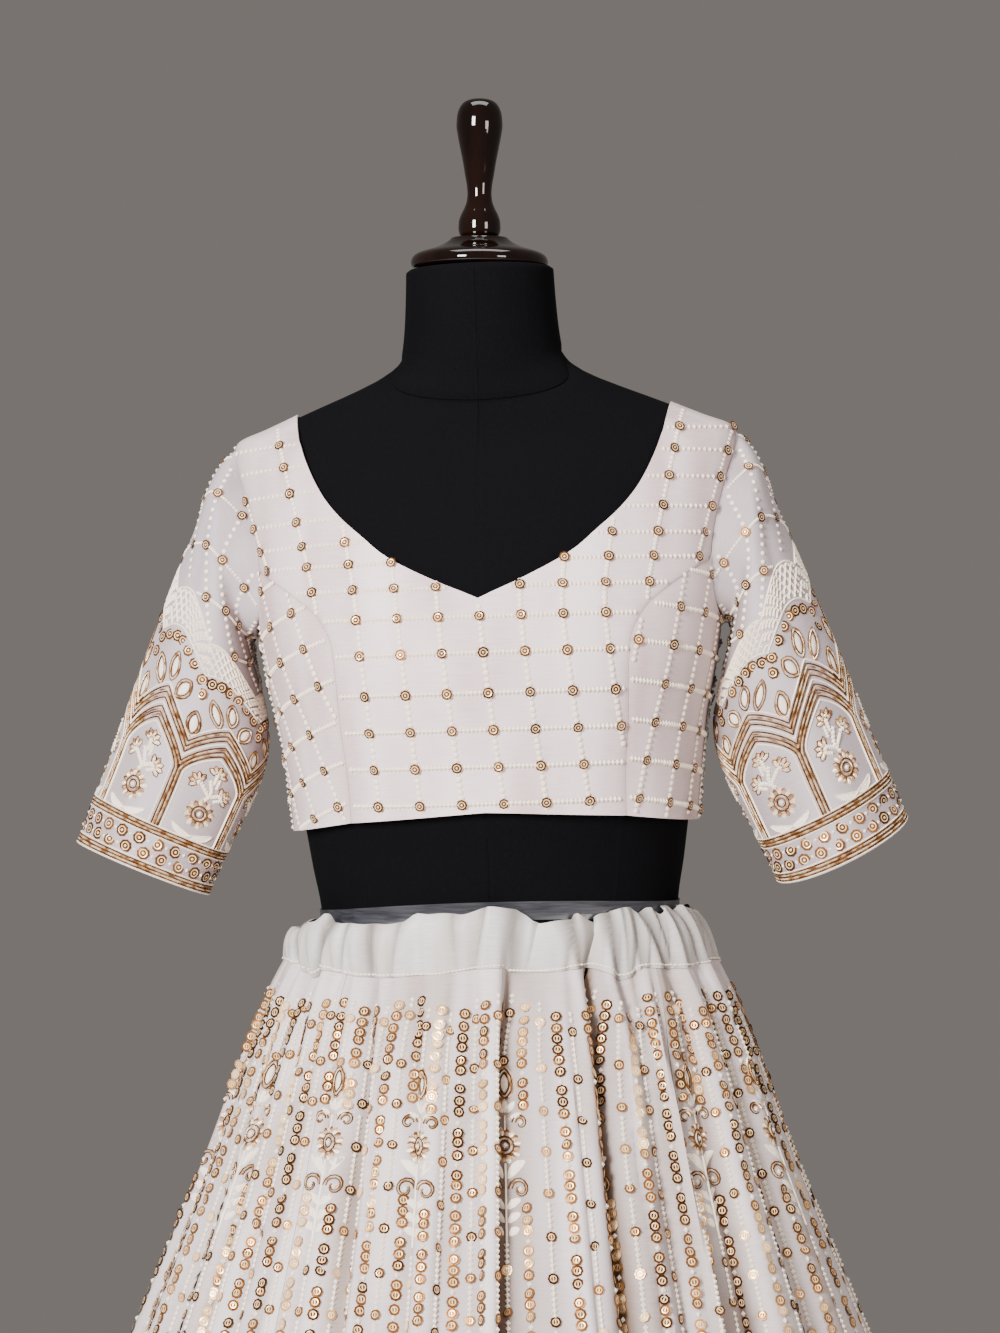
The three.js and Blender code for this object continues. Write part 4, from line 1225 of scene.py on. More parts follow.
def fold_depth(angle, z):
    """How far the cloth stands in from its crests, for many angles at one height."""
    drawn, fall = spread(z), fallen(z)
    at = gathers["hem"] + (gathers["top"] - gathers["hem"]) * drawn
    deep = gathers["deep"] + (gathers["deepHem"] - gathers["deep"]) * fall
    turned_angle = at[0] + (angle - at[0]) % 360
    i = np.clip(np.searchsorted(at, turned_angle, side="right") - 1, 0, len(at) - 1)
    following = (i + 1) % len(at)
    end = at[following] + 360 * (following == 0)
    share = (turned_angle - at[i]) / (end - at[i])
    trough = deep[i] + (deep[following] - deep[i]) * share
    return 0.8 * trough * (1 - np.sin(np.pi * np.clip(share, 0, 1)) ** 1.2)


def crease_pull(angle, z):
    """How deep the narrow creases are, and how far their cloth lies over to one side."""
    drawn, fall = spread(z), fallen(z)
    radius = np.hypot(skirt_width(z) * sine(angle), skirt_front(z) * cosine(angle))
    depth, sideways = np.zeros_like(angle), np.zeros_like(angle)
    for top, hem, crease, crease_hem, wide, wide_hem, fade, lay in zip(*creases.values()):
        place = hem + (top - hem) * drawn
        away = np.radians(turn_between(angle, place)) * radius / (wide + (wide_hem - wide) * fall)
        strength = (crease + (crease_hem - crease) * fall) * smooth_step(z, fade - 120, fade + 250)
        away = away * np.where(away * lay > 0, 1.5, 0.75)
        here = strength * np.exp(-np.abs(away) ** 1.5)
        depth, sideways = depth + here, sideways + lay * here
    return depth, np.degrees(sideways / radius)


def puckers(angle, z):
    """The small crimps that the gathering thread leaves right under the casing."""
    near = np.exp(-np.maximum(SKIRT_TOP - z, 0) / 30)
    return near * (0.55 * sine(angle * 53 + 20) * sine(angle * 7) + 0.3 * sine(angle * 89))


def held_in(sink, room):
    """Folds can't go deeper than the form that they lie on."""
    return room * (1 - np.exp(-sink / room))


def room_at_waist(angle):
    """Millimetres between the skirt's crests and the form, right under the casing."""
    return 12.5 + 5 * np.abs(sine(angle))


def skirt_point(angle, z):
    depth = np.where(cosine(angle) > 0, skirt_front(z), skirt_back(z))
    creased, sideways = crease_pull(angle, z)
    folds = fold_depth(angle, z) + creased + pinch(angle, 0) * math.exp(-(SKIRT_TOP - z) / 35)
    room = room_at_waist(angle) + 0.9 * (SKIRT_TOP - z)
    sink = held_in(folds, room) + puckers(angle, z)
    turn = angle + sideways * smooth_step(z, SKIRT_TOP, SKIRT_TOP - 60)
    x = SKIRT_X + (skirt_width(z) - sink) * sine(turn)
    ride = (seam_height(from_right_side(angle)) - SKIRT_TOP) * smooth_step(z, 985, SKIRT_TOP)
    return stacked(x, -(depth - sink) * cosine(turn), z + ride)


def drift(angle, z):
    """Where a line of the cloth that starts at an angle lies lower down."""
    flare = 1 - skirt_width(SKIRT_TOP) / skirt_width(z)
    return angle - 18 * flare * sine(2 * angle)


# %% [markdown]
# ## The kalis
# Each kali is a grid whose columns are real lines of the cloth: at every height its points are the
# same distance apart along the folded surface, because cloth folds but hardly stretches. The
# embroidery is charted on the same grid later, so it dips into every crease with the cloth.

# %% Sew the kalis
KALIS, KALI_COLUMNS, KALI_ROWS = 8, 61, 74
# The cloth runs down a slope, so a kali is longer than it is high: 1.07 m of cloth over 1.02 m.
KALI_LENGTH, SLANT = 1.07, 1.045
SEAM_HALF_GAP = 0.15


def even_places(start, end, z, count):
    """Angles that are an equal distance apart along the folded cloth."""
    angle = np.linspace(start, end, 420)
    run = run_along(skirt_point(angle, z))
    return np.interp(np.linspace(0, run[-1], count), run, angle), run[-1]


kali_heights = SKIRT_HEM + (SKIRT_TOP - SKIRT_HEM) * (1 - (1 - np.linspace(0, 1, KALI_ROWS)) ** 1.35)
kali_grids = []
for number in range(KALIS):
    outer, flat, widths = [], [], []
    for z in kali_heights:
        gap = math.degrees(SEAM_HALF_GAP / float(skirt_front(z)))
        start, end = (float(drift(45.0 * (number + i), z)) for i in (0, 1))
        angle, width = even_places(start + gap, end - gap, z, KALI_COLUMNS)
        # Painted shade: the cloth is painted browner in its creases and troughs, and darker towards the
        # sides, where it turns from the light.
        creased = np.clip(crease_pull(angle, z)[0] / 22, 0, 1) ** 1.1
        troughs = 0.32 * np.clip(fold_depth(angle, z) / 14, 0, 1) ** 1.5
        outer.append(skirt_point(angle, z))
        widths.append(width)
        across = np.linspace(-0.5, 0.5, KALI_COLUMNS) * width + number * 500
        painted_shade = np.clip(creased + troughs, 0.24 * np.abs(sine(angle)) ** 3, 1)
        flat.append(stacked(across, z * SLANT, painted_shade))
    outer = np.array(outer)
    normal = grid_normals(outer)
    inner = outer - normal * SKIRT_WALL
    piece = cloth_piece(f"skirt_kali_{number + 1}_cloth", [(outer, inner, np.array(flat))], skirt_cloth)
    finish_piece(piece, "skirt_georgette", f"skirt_kali_{number + 1}")
    area = float(np.trapz(widths, kali_heights)) * SLANT * MM * MM
    sheets[piece.name] = {"flat": (round(max(widths) * MM, 3), KALI_LENGTH), "area": round(area, 4),
                          "held": "gathered", "rests_on": ["skirt_casing_cloth"]}
    kali_grids.append({"outer": outer, "normal": normal, "width": np.array(widths), "node": piece.name})
    print(f"kali {number + 1}: {widths[-1]:.0f} mm wide at the top, {widths[0]:.0f} mm at the hem")

# %% [markdown]
# ## The casing
# The casing is a plain band of satin crepe, folded over the drawstring. Pulled up, it stands as a
# ruffle: its top edge rises on every fold and dips between them, and sharp creases run down from the
# dips to the seam. A row of cream stitches holds it to the skirt.

# %% The casing
ruffle = table("angle z", """
-90 1066
-82 1066
-74 1067
-67 1071
-61 1074
-55 1079
-50 1074
-44 1073
-27 1075
-22 1083
-12 1082
-3  1088
4   1082
9   1076
15  1077
19  1083
23  1075
26  1081
36  1086
41  1081
46  1085
51  1080
56  1085
61  1080
66  1085
74  1082
84  1079
96  1076
104 1082
113 1076
124 1085
132 1078
145 1087
152 1078
163 1087
172 1080
184 1088
193 1078
204 1085
214 1078
226 1080
236 1070
247 1068
258 1062
270 1066
""")
edge_height = curve(ruffle, "z", "angle")
BAND_WALL, BAND_DEPTH, SEAM_GAP = 2.0, 48, 0.3


def casing_point(angle, share, inwards=0.0):
    seam_z = seam_height(from_right_side(angle)) + SEAM_GAP
    crest = edge_height(from_right_side(angle)) + 0.8 * sine(angle * 31) * sine(angle * 5)
    z = seam_z + (crest - seam_z) * share
    swell = 2.2 * np.sin(np.pi * np.clip(share * 0.9, 0, 1)) ** 0.7
    folds = fold_depth(angle, SKIRT_TOP) * (0.6 - 0.4 * share) + pinch(angle, share)
    folds = folds + crease_pull(angle, SKIRT_TOP)[0] * (1 - share)
    left, right = np.maximum(sine(angle), 0), np.maximum(-sine(angle), 0)
    room = room_at_waist(angle) - (4 + 5 * right + 7 * left) * share
    sink = held_in(folds, room) - swell + puckers(angle, SKIRT_TOP) * (1 - share)
    sink = sink + (16 * left ** 2 + 3 * right ** 2) * share + 4 * share ** 6 + inwards
    depth = np.where(cosine(angle) > 0, skirt_front(SKIRT_TOP), skirt_back(SKIRT_TOP))
    turn = angle + 0.25 * pinch(angle, share) * sine(angle * 3 + 40) * share
    x = SKIRT_X + (skirt_width(SKIRT_TOP) - sink) * sine(turn)
    return stacked(x, -(depth - sink) * cosine(turn), z)


casing_angles = np.linspace(-179.9, 179.9, 721)
casing_shares = np.array([0, 0.03, 0.08, 0.16, 0.26, 0.38, 0.5, 0.62, 0.74, 0.84, 0.91, 0.96, 0.99, 1])
outer = np.array([casing_point(casing_angles, share) for share in casing_shares])
inner = np.array([casing_point(casing_angles, share, BAND_WALL) for share in casing_shares])
# Painted shade: the crepe is painted darker in its sharp creases, and towards the sides, where it turns from
# the light.
painted_shade = np.array([0.85 * np.tanh(pinch(casing_angles, share, 2.2) / 5) for share in casing_shares])
painted_shade = np.maximum(painted_shade, 0.32 * np.abs(sine(casing_angles)) ** 3)
flat = stacked(np.radians(casing_angles) * 190, (casing_shares * BAND_DEPTH)[:, None], painted_shade)
casing = cloth_piece("skirt_casing_cloth", [(outer, inner, flat)], casing_cloth)
finish_piece(casing, "casing_satin", "skirt_casing")
casing_surface = outer
casing_run = float(np.linalg.norm(np.diff(outer[0], axis=0), axis=1).sum()) * MM
sheets[casing.name] = {"flat": (round(casing_run, 2), BAND_DEPTH * MM), "held": "gathered",
                       "rests_on": ["form_torso_cover"]}
print(f"casing: {casing_run:.2f} m of cloth round the seam")

# %% [markdown]
# ## Tools for the embroidery
# Every stitch is a small closed shape, and thousands of them are joined into one mesh. `Surface`
# answers where a place on a cloth grid lies, so a stitch follows every fold. `Stitches` gathers three
# kinds of shape: copies of one small shape, cords along a line, and filled leaves. `Needle` works a
# flat motif, charted in millimetres, onto the cloth.

# %% Surfaces and stitches
random = np.random.default_rng(7)


class Surface:
    def __init__(self, outer, normal):
        self.outer, self.normal = outer, normal

    def at(self, u, v, lift=0.0):
        """Points, the way across and the way out, at column u and row v of the grid."""
        rows, cols = self.outer.shape[:2]
        u, v = np.broadcast_arrays(np.asarray(u, float), np.asarray(v, float))
        i = np.clip(np.floor(u).astype(int), 0, cols - 2)
        j = np.clip(np.floor(v).astype(int), 0, rows - 2)
        a, b = (u - i)[..., None], (v - j)[..., None]

        def blend(grid):
            low = grid[j, i] * (1 - a) + grid[j, i + 1] * a
            high = grid[j + 1, i] * (1 - a) + grid[j + 1, i + 1] * a
            return low * (1 - b) + high * b

        low_step = self.outer[j, i + 1] - self.outer[j, i]
        high_step = self.outer[j + 1, i + 1] - self.outer[j + 1, i]
        out = unit(blend(self.normal))
        return blend(self.outer) + out * lift, unit(low_step * (1 - b) + high_step * b), out


def small_shape(sides, level, top, foot, notch=1.0):
    """A closed shape: a ring of corners, with a point above it and one below. notch draws in every
    other corner."""
    around = np.arange(sides) * 2 * np.pi / sides
    rim = np.where(np.arange(sides) % 2, notch, 1.0)
    ring = stacked(rim * np.cos(around), rim * np.sin(around), level)
    corners = np.concatenate([ring, [[0, 0, top], [0, 0, foot]]])
    faces = [[i, (i + 1) % sides, sides] for i in range(sides)]
    faces += [[(i + 1) % sides, i, sides + 1] for i in range(sides)]
    return corners, np.array(faces), corners


# A knot is a low bead. A sequin is a thin stamped disc whose rim has eight small petals.
KNOT, FINE_KNOT = (small_shape(sides, 0.15, 0.95, -0.4) for sides in (6, 4))
SEQUIN = small_shape(16, 0.04, 0.16, -0.06, notch=0.9)


class Stitches:
    """Gathers many small closed shapes, and sews them into one mesh."""

    def __init__(self):
        self.points, self.faces, self.disc, self.shade, self.count = [], [], [], [], 0

    def add(self, points, faces, disc, shade):
        self.points.append(points)
        self.faces.append(faces + self.count)
        self.disc.append(disc)
        self.shade.append(shade)
        self.count += len(points)

    def copies(self, shape, place, size, shade=0.5, wide=1.0, tilt=0.0):
        points, across, out = (np.asarray(v, float).reshape(-1, 3) for v in place)
        if len(points) == 0:
            return
        if tilt:
            out = unit(out + tilt * random.normal(size=out.shape))
        across = unit(across - out * (across * out).sum(-1, keepdims=True))
        up = np.cross(out, across)
        corners, faces, disc = shape
        size = np.broadcast_to(size, len(points))[:, None, None]
        made = (corners[:, :1] * across[:, None] * wide + corners[:, 1:2] * up[:, None]
                + corners[:, 2:] * out[:, None])
        made = points[:, None] + size * made
        step = np.arange(len(points))[:, None, None] * len(corners)
        shade = np.repeat(np.broadcast_to(shade, len(points)), len(corners))
        disc = np.tile(disc, (len(points), 1))
        self.add(made.reshape(-1, 3), (faces + step).reshape(-1, 3), disc, shade)

    def cord(self, points, out, width, height, shade=0.5):
        """A cord with a three-sided section along a line of points."""
        ahead = unit(np.gradient(points, axis=0))
        right = unit(np.cross(ahead, out)) * width / 2
        rings = np.stack([points - right, points + right, points + out * height], 1)
        n = len(points)
        i = np.arange(n - 1)[:, None] * 3
        quads = [(i + a, i + a + 3, i + b + 3, i + b) for a, b in ((1, 2), (2, 0), (0, 1))]
        faces = [np.concatenate([np.concatenate([a, b, c], 1), np.concatenate([a, c, d], 1)])
                 for a, b, c, d in quads]
        ends = [[[0, 1, 2]], [[3 * n - 3, 3 * n - 1, 3 * n - 2]]]
        disc = stacked(np.repeat(run_along(points) + self.count, 3), np.tile([0.0, 2.0, 1.0], n), 0)
        self.add(rings.reshape(-1, 3), np.concatenate(faces + ends), disc, np.full(3 * n, float(shade)))

    def fill(self, outline, out, rise, shade=0.5):
        """A padded leaf inside an outline."""
        n, middle, lift = len(outline), outline.mean(0), unit(out.mean(0))
        turning = np.cross(outline - middle, np.roll(outline, -1, 0) - middle).sum(0)
        if turning @ lift < 0:
            outline = outline[::-1]
        points = np.concatenate([outline, [middle + lift * rise, middle - lift * 0.3]])
        i = np.arange(n)[:, None]
        following = (i + 1) % n
        faces = np.concatenate([np.concatenate([i, following, i * 0 + n], 1),
                                np.concatenate([following, i, i * 0 + n + 1], 1)])
        self.add(points, faces, points - middle, np.full(n + 2, float(shade)))

    def sew(self, name, material, slot, cloth):
        points = np.concatenate(self.points) * MM
        faces = np.concatenate(self.faces).astype(np.int32)
        mesh = bpy.data.meshes.new(name)
        mesh.vertices.add(len(points))
        mesh.vertices.foreach_set("co", points.astype(np.float32).ravel())
        mesh.loops.add(faces.size)
        mesh.loops.foreach_set("vertex_index", faces.ravel())
        mesh.polygons.add(len(faces))
        mesh.polygons.foreach_set("loop_start", np.arange(0, faces.size, 3, dtype=np.int32))
        mesh.update(calc_edges=True)
        shade = mesh.attributes.new("shade", "FLOAT", "POINT")
        shade.data.foreach_set("value", np.concatenate(self.shade).astype(np.float32))
        disc = mesh.attributes.new("disc", "FLOAT_VECTOR", "POINT")
        disc.data.foreach_set("vector", np.concatenate(self.disc).astype(np.float32).ravel())
        mesh.materials.append(material)
        shaded(mesh)
        finish_piece(new_object(name, mesh), slot)
        sheets[cloth].setdefault("with_pieces", []).append(name)


class Needle:
    """Works flat motifs onto a cloth: to_cloth turns flat places into points, ways across and ways out."""

    def __init__(self, gold, cream, to_cloth):
        self.gold, self.cream, self.to_cloth = gold, cream, to_cloth

    def thread(self, line, metal=True, width=1.35, height=0.75, shade=None):
        points, _, out = self.to_cloth(np.asarray(line, float))
        shade = random.uniform(0.35, 0.9) if shade is None else shade
        (self.gold if metal else self.cream).cord(points, out, width, height, shade)

    def leaf(self, outline, rise=0.7, metal=False, shade=0.6):
        points, _, out = self.to_cloth(np.asarray(outline, float))
        (self.gold if metal else self.cream).fill(points, out, rise, shade)

    def knots(self, places, size=1.3, metal=False, shade=0.6):
        place = self.to_cloth(np.asarray(places, float).reshape(-1, 2))
        (self.gold if metal else self.cream).copies(FINE_KNOT, place, size, shade)


def turned_by(points, degrees, centre):
    c, s = cosine(degrees), sine(degrees)
    return points @ np.array([[c, s], [-s, c]]) + np.array(centre)


def marquise(length, width, centre, turn=0, count=14, bend=0.0):
    """A leaf with a point at each end."""
    around = np.linspace(0, 2 * np.pi, count + 1)
    up = -np.cos(around)
    x = width / 2 * np.sin(around) * np.abs(np.sin(around)) ** 0.5 + bend * (1 - up ** 2)
    return turned_by(stacked(x, up * length / 2), turn, centre)


def ring_line(radius, centre, count=12, sweep=360):
    around = np.linspace(0, 1, count + 1) * sweep
    return stacked(radius * cosine(around), radius * sine(around)) + np.array(centre)


def volute(radius, centre, side, turns, count):
    """A spiral that starts at the stem and winds outwards and down."""
    share = np.linspace(0, 1, count)
    reach = radius * (1 - 0.72 * share)
    around = 180 - share * turns * 360
    return stacked(side * reach * cosine(around), reach * sine(around)) + np.array(centre)


def sun_flower(needle, centre, radius, rays=16):
    """Gold rings, dark and bright in turn, round a cream middle, and a wreath of pointed rays."""
    for share, shade in ((0.55, 0.1), (0.42, 0.9), (0.29, 0.15)):
        needle.thread(ring_line(radius * share, centre), True, 1.3, 0.9, shade)
    needle.knots([centre], radius * 0.19)
    for i in range(rays):
        turn = i * 360 / rays + 8
        reach = radius * (0.82 if i % 2 else 0.76)
        middle = np.array(centre) + reach * np.array([sine(turn), cosine(turn)])
        needle.leaf(marquise(radius * 0.52, radius * 0.36, middle, -turn, 6)[:-1], 0.9, metal=True,
                    shade=(random.uniform(0.2, 0.5), random.uniform(0.75, 1.0))[i % 2])


print("knot", len(KNOT[1]), "fine knot", len(FINE_KNOT[1]), "sequin", len(SEQUIN[1]), "triangles")

# %% [markdown]
# ## The choli's checks
# The choli is worked all over in checks: lines of cream knots cross, and a small gold rosette sits on
# every crossing. On the front the columns lean, and turn towards each strap; on the side panels, which
# are cut on a slant, the whole check is turned. Stitches stop short of the seams and the edges.

# %% Charts of the checks
check_rows = np.array([1167.6, 1195, 1222, 1249.3, 1278.2, 1304.7, 1326.2, 1345.6, 1364, 1384, 1406.6,
                       1426.8, 1443.7, 1460])
COLUMN_PITCH, FIRST_COLUMN, ROW_PITCH = 30.5, 13.5, 28.4
column_heights = np.arange(1150, 1470, 2.0)
column_numbers = np.arange(-8, 9)


def column_lean(x, z):
    """Degrees from upright: the front's columns lean, and each strap's columns follow the strap."""
    return -5.2 + (-0.7 + 10.5 * x / 110 + 5.2) * smooth_step(z, 1290, 1340)


column_chart = np.zeros((len(column_numbers), len(column_heights)))
first = int(np.searchsorted(column_heights, check_rows[0]))
column_chart[:, first] = FIRST_COLUMN + COLUMN_PITCH * column_numbers
for step, last in ((1, len(column_heights) - 1), (-1, 0)):
    for k in range(first, last, step):
        x = column_chart[:, k]
        lean_here = np.radians(column_lean(x, column_heights[k]))
        column_chart[:, k + step] = x + step * 2.0 * np.tan(lean_here)


def front_check(i, j):
    """The place (x, z) of column i and row j of the front's check."""
    z = np.interp(j, np.arange(-1, len(check_rows)), np.concatenate([[check_rows[0] - 27.4], check_rows]))
    row = np.clip(i + 8, 0, 15.999)
    low = np.floor(row).astype(int)
    at = np.clip((z - column_heights[0]) / 2, 0, len(column_heights) - 1.001)
    k = np.floor(at).astype(int)
    side = [column_chart[low + n, k] * (1 - (at - k)) + column_chart[low + n, k + 1] * (at - k)
            for n in (0, 1)]
    x = side[0] + (side[1] - side[0]) * (row - low)
    return x, z + 0.05 * np.minimum(x + 60, 0) * smooth_step(z, 1340, 1375)


def check_places(columns, rows, up_knots=5, across_knots=9):
    """Places between crossings, up and across, and the crossings themselves."""
    i, j = np.meshgrid(columns, rows)
    part = np.arange(1, up_knots + 1) / (up_knots + 1)
    rising = (np.repeat(i.ravel(), up_knots), (j.ravel()[:, None] + part).ravel())
    part = np.arange(1, across_knots + 1) / (across_knots + 1)
    level = ((i.ravel()[:, None] + part).ravel(), np.repeat(j.ravel(), across_knots))
    return rising, level, (i.ravel().astype(float), j.ravel().astype(float))


SEAM_MARGIN, DEGREE_MM = 2.6, 2.3
ON_CLOTH, OVER_KNOTS = 0.1, 2.1
armhole_turns = np.linspace(0, 180, 91)
front_armhole = armhole(armhole_turns)
back_armhole = armhole(360 - armhole_turns)
lower_armhole = armhole(np.linspace(180, PRINCESS_TURN, 30))


def in_front(angle, z):
    x = form_point(angle, z)[..., 0]
    half = np.abs(x)
    low = z > hem_height(angle) + 1.5
    seam_x = np.where(z < PRINCESS_END[1], princess_half(z), 400)
    sleeve_angle = np.interp(-z, -front_armhole[:, 1], front_armhole[:, 0])
    sleeve_angle = np.where(z < PRINCESS_END[1], 90, np.where(z > SHOULDER_TIP, 86, sleeve_angle))
    inside = (half < seam_x - SEAM_MARGIN) & (np.abs(angle) < sleeve_angle - 1.3)
    neck_x = np.where(z > V_POINT - 4, neck_half(z) + SEAM_MARGIN, -1)
    return low & inside & (half > neck_x) & (z < STRAP_CORNER)


def in_side(angle, z):
    turn = np.abs(angle)
    top = np.interp(-turn, -lower_armhole[:, 0], lower_armhole[:, 1])
    seam_turn = angle_at(np.minimum(princess_half(z), 0.999 * form_width(z)), z)
    inside = (turn > seam_turn + SEAM_MARGIN / DEGREE_MM) & (turn < 89.2)
    return inside & (z > hem_height(angle) + 1.5) & (z < top - SEAM_MARGIN) & (z < PRINCESS_END[1] - 2)


def in_back(angle, z):
    turn = np.abs(angle)
    sleeve_angle = np.interp(-z, -back_armhole[:, 1], back_armhole[:, 0])
    sleeve_angle = np.where(z > UNDERARM[1], sleeve_angle, 90)
    neck_x = np.where(z > 1390, np.interp(z, back_neckline["z"], back_neckline["half"]) + SEAM_MARGIN, -1)
    half = np.abs(form_point(angle, z)[..., 0])
    inside = (turn > sleeve_angle + 0.8) & (turn < 179.2) & (half > neck_x)
    return inside & (z > hem_height(angle) + 1.5) & (z < 1448)


def choli_place(angle, z, lift):
    """The points, ways across and ways out of places on the body of the choli."""
    point = choli_outer(angle, z) + form_normal(angle, z) * lift
    across = choli_outer(angle + 0.5, z) - choli_outer(angle - 0.5, z)
    return worn(point), unit(across) @ LEAN.T, form_normal(angle, z) @ LEAN.T


def work_checks(name, to_angle, inside, columns, rows):
    """Works one panel's check. to_angle turns (column, row) into (angle, height)."""
    cream, gold = Stitches(), Stitches()
    rising, level, crossing = check_places(columns, rows)
    for stitch, places, size in ((KNOT, rising, 2.35), (FINE_KNOT, level, 2.45)):
        angle, z = to_angle(*places)
        keep = inside(angle, z)
        size = size * random.uniform(0.9, 1.1, keep.sum())
        size = size * np.interp(z[keep], (1250, 1380), (1.0, 0.8))
        cream.copies(stitch, choli_place(angle[keep], z[keep], ON_CLOTH), size)
    angle, z = to_angle(*crossing)
    keep = inside(angle, z)
    shade = random.uniform(0.0, 0.25, keep.sum())
    size = random.uniform(4.1, 4.5, keep.sum())
    gold.copies(SEQUIN, choli_place(angle[keep], z[keep], OVER_KNOTS), size, shade, tilt=0.1)
    cream.sew(f"{name}_knots", cream_thread, "choli_georgette", f"{name}_cloth")
    gold.sew(f"{name}_rosettes", rosette_gold, "choli_georgette", f"{name}_cloth")


def front_angle(i, j):
    x, z = front_check(i, j)
    width = form_width(z) * 0.999
    return np.sign(x) * angle_at(np.minimum(np.abs(x), width), z), z


def turned_check(side, start, slant):
    """A check that is turned by a slant, counted from an angle on one side of the form."""
    def to_angle(i, j):
        across, up = i * COLUMN_PITCH, j * ROW_PITCH
        shift = across * cosine(slant) - up * sine(slant)
        z = check_rows[0] + up * cosine(slant) + across * sine(slant)
        return side * (start + shift / DEGREE_MM), z
    return to_angle


work_checks("choli_front_centre", front_angle, in_front, np.arange(-8, 8), np.arange(-1, 13.0))
for name, side, slant in (("left", 1, -8), ("right", -1, -17)):
    work_checks(f"choli_front_side_{name}", turned_check(side, 44, slant), in_side,
                np.arange(-3, 6), np.arange(-2, 9.0))
    work_checks(f"choli_back_{name}", turned_check(side, 180, 0), in_back,
                np.arange(-8, 1), np.arange(-1, 11.0))

# %% [markdown]
# ## The sleeves' border
# A border goes once round each cuff in six repeats. From the cuff up it has a band of gold and cream
# lines, a band of rosettes, and more lines; then a row of pointed arches on narrow posts, with a
# flower spray in each; marquise petals over the arches; a chain of rosettes; a scalloped band filled
# with fish scales; and above that the check again, set on the slant.

# %% The border's chart
REPEAT = 56.0
REPEATS = 6
ROUND = REPEAT * REPEATS
POST, POST_FOOT = REPEAT / 2, 38.5
SCALLOP_LOW, SCALLOP_RISE = 155.0, 12.0


def scallop(x):
    """Height of the scalloped chain at a distance along the border."""
    share = (x / REPEAT + 0.5) % 1 - 0.5
    return SCALLOP_LOW + SCALLOP_RISE * (1 - (2 * share) ** 2)


def arch_line(out, foot=None):
    """A pointed arch, so far outside the arch's inner edge. It stops where the next repeat begins;
    with a foot it stands on two upright posts."""
    half, spring, apex = POST - 2.7 + out, 86.0, 112.0 + 1.5 * out
    x = np.linspace(min(half, POST), 0, 25)
    side = stacked(x, spring + (apex - spring) * (1 - (x / half) ** 1.15) ** 0.7)
    if foot is not None:
        post = stacked(half, np.linspace(foot, spring, 9))
        side = np.concatenate([post[:-1], side])
    return np.concatenate([side * (-1, 1), side[-2::-1]])


# Metal threads laid side by side: how far each lies from the first, its width, and how bright it is.
BRAID = ((0.0, 1.3, 0.1), (1.35, 1.6, 0.85), (2.7, 1.3, 0.12), (4.05, 1.6, 0.75), (5.4, 1.3, 0.1))


def work_arch(needle):
    for away, width, shade in BRAID:
        needle.thread(arch_line(away, POST_FOOT if away < 2 else None), True, width, 1.1, shade)
        needle.thread(arch_line(9.6 + away), True, width, 1.1, shade)
    needle.thread(stacked(POST, np.linspace(POST_FOOT, 90, 9)), True, 1.2, 1.2, 0.15)
    needle.thread(arch_line(-2.0, POST_FOOT), False, 1.7, 1.1)
    for out in (7.4, 16.8):
        needle.thread(arch_line(out), False, 1.6, 1.1)
    for x, y, turn in ((0, 149, 0), (-13.5, 140.5, 30), (13.5, 140.5, -30), (28, 123, 0)):
        needle.leaf(marquise(12.5, 5.6, (x, y), turn)[:-1], 1.2)
        needle.thread(marquise(15.6, 7.4, (x, y), turn), True, 1.1, 0.9, 0.12)
        needle.thread(marquise(18.2, 9.4, (x, y), turn), True, 1.6, 1.0, random.uniform(0.7, 1.0))
        needle.thread(marquise(20.8, 11.6, (x, y), turn), True, 1.0, 0.8, random.uniform(0.05, 0.3))


def half_flower(needle, x, y, turn):
    """A fan of gold petals, outlined, on a cream knot."""
    for step in np.linspace(-75, 75, 5):
        way = turn + step
        middle = np.array([x, y]) + 4.6 * np.array([-sine(way), cosine(way)])
        needle.leaf(marquise(7.0, 3.4, middle, way, 6)[:-1], 1.0, True, random.uniform(0.6, 1.0))
        needle.thread(marquise(8.2, 4.6, middle, way, 6), True, 0.9, 0.6, random.uniform(0.05, 0.4))
    needle.knots([(x, y)], 2.4)


def work_spray(needle):
    """A sun flower, a stem of cream knots with three half flowers, and leaves at its foot."""
    sun_flower(needle, (0, 60), 11.6)
    stem = np.linspace(0, 1, 7)
    needle.knots(stacked(2 * np.sin(stem * 4), 73 + 15 * stem), 2.3)
    for x, y, turn in ((10.5, 79, -62), (-10, 84, 55), (1.5, 95, -8)):
        base = np.array([1.5, 74 if abs(x) > 5 else 84])
        part = np.linspace(0.25, 0.8, 4)[:, None]
        needle.knots(base + (np.array([x, y]) - base) * part + (0, 1.8), 2.1)
        needle.knots(base + (np.array([x, y]) - base) * part + (3.2, -1.2), 1.9)
        half_flower(needle, x, y, turn)
    for side in (-1, 1):
        leaf = marquise(19, 5.0, (side * 8.5, 43.8), side * -72, 12, bend=side * 2.4)
        needle.leaf(leaf[:-1], 1.3)
        needle.thread(leaf, False, 0.9, 1.0)


def work_lines(needle, low):
    around = np.linspace(-ROUND / 2 + 0.2, ROUND / 2 - 0.2, 97)
    for away, width, shade in BRAID:
        needle.thread(stacked(around, low + 1.2 + away), True, width, 1.0, shade)
    for away in (0, 7.8):
        needle.thread(stacked(around, low + away), False, 1.5, 1.0)


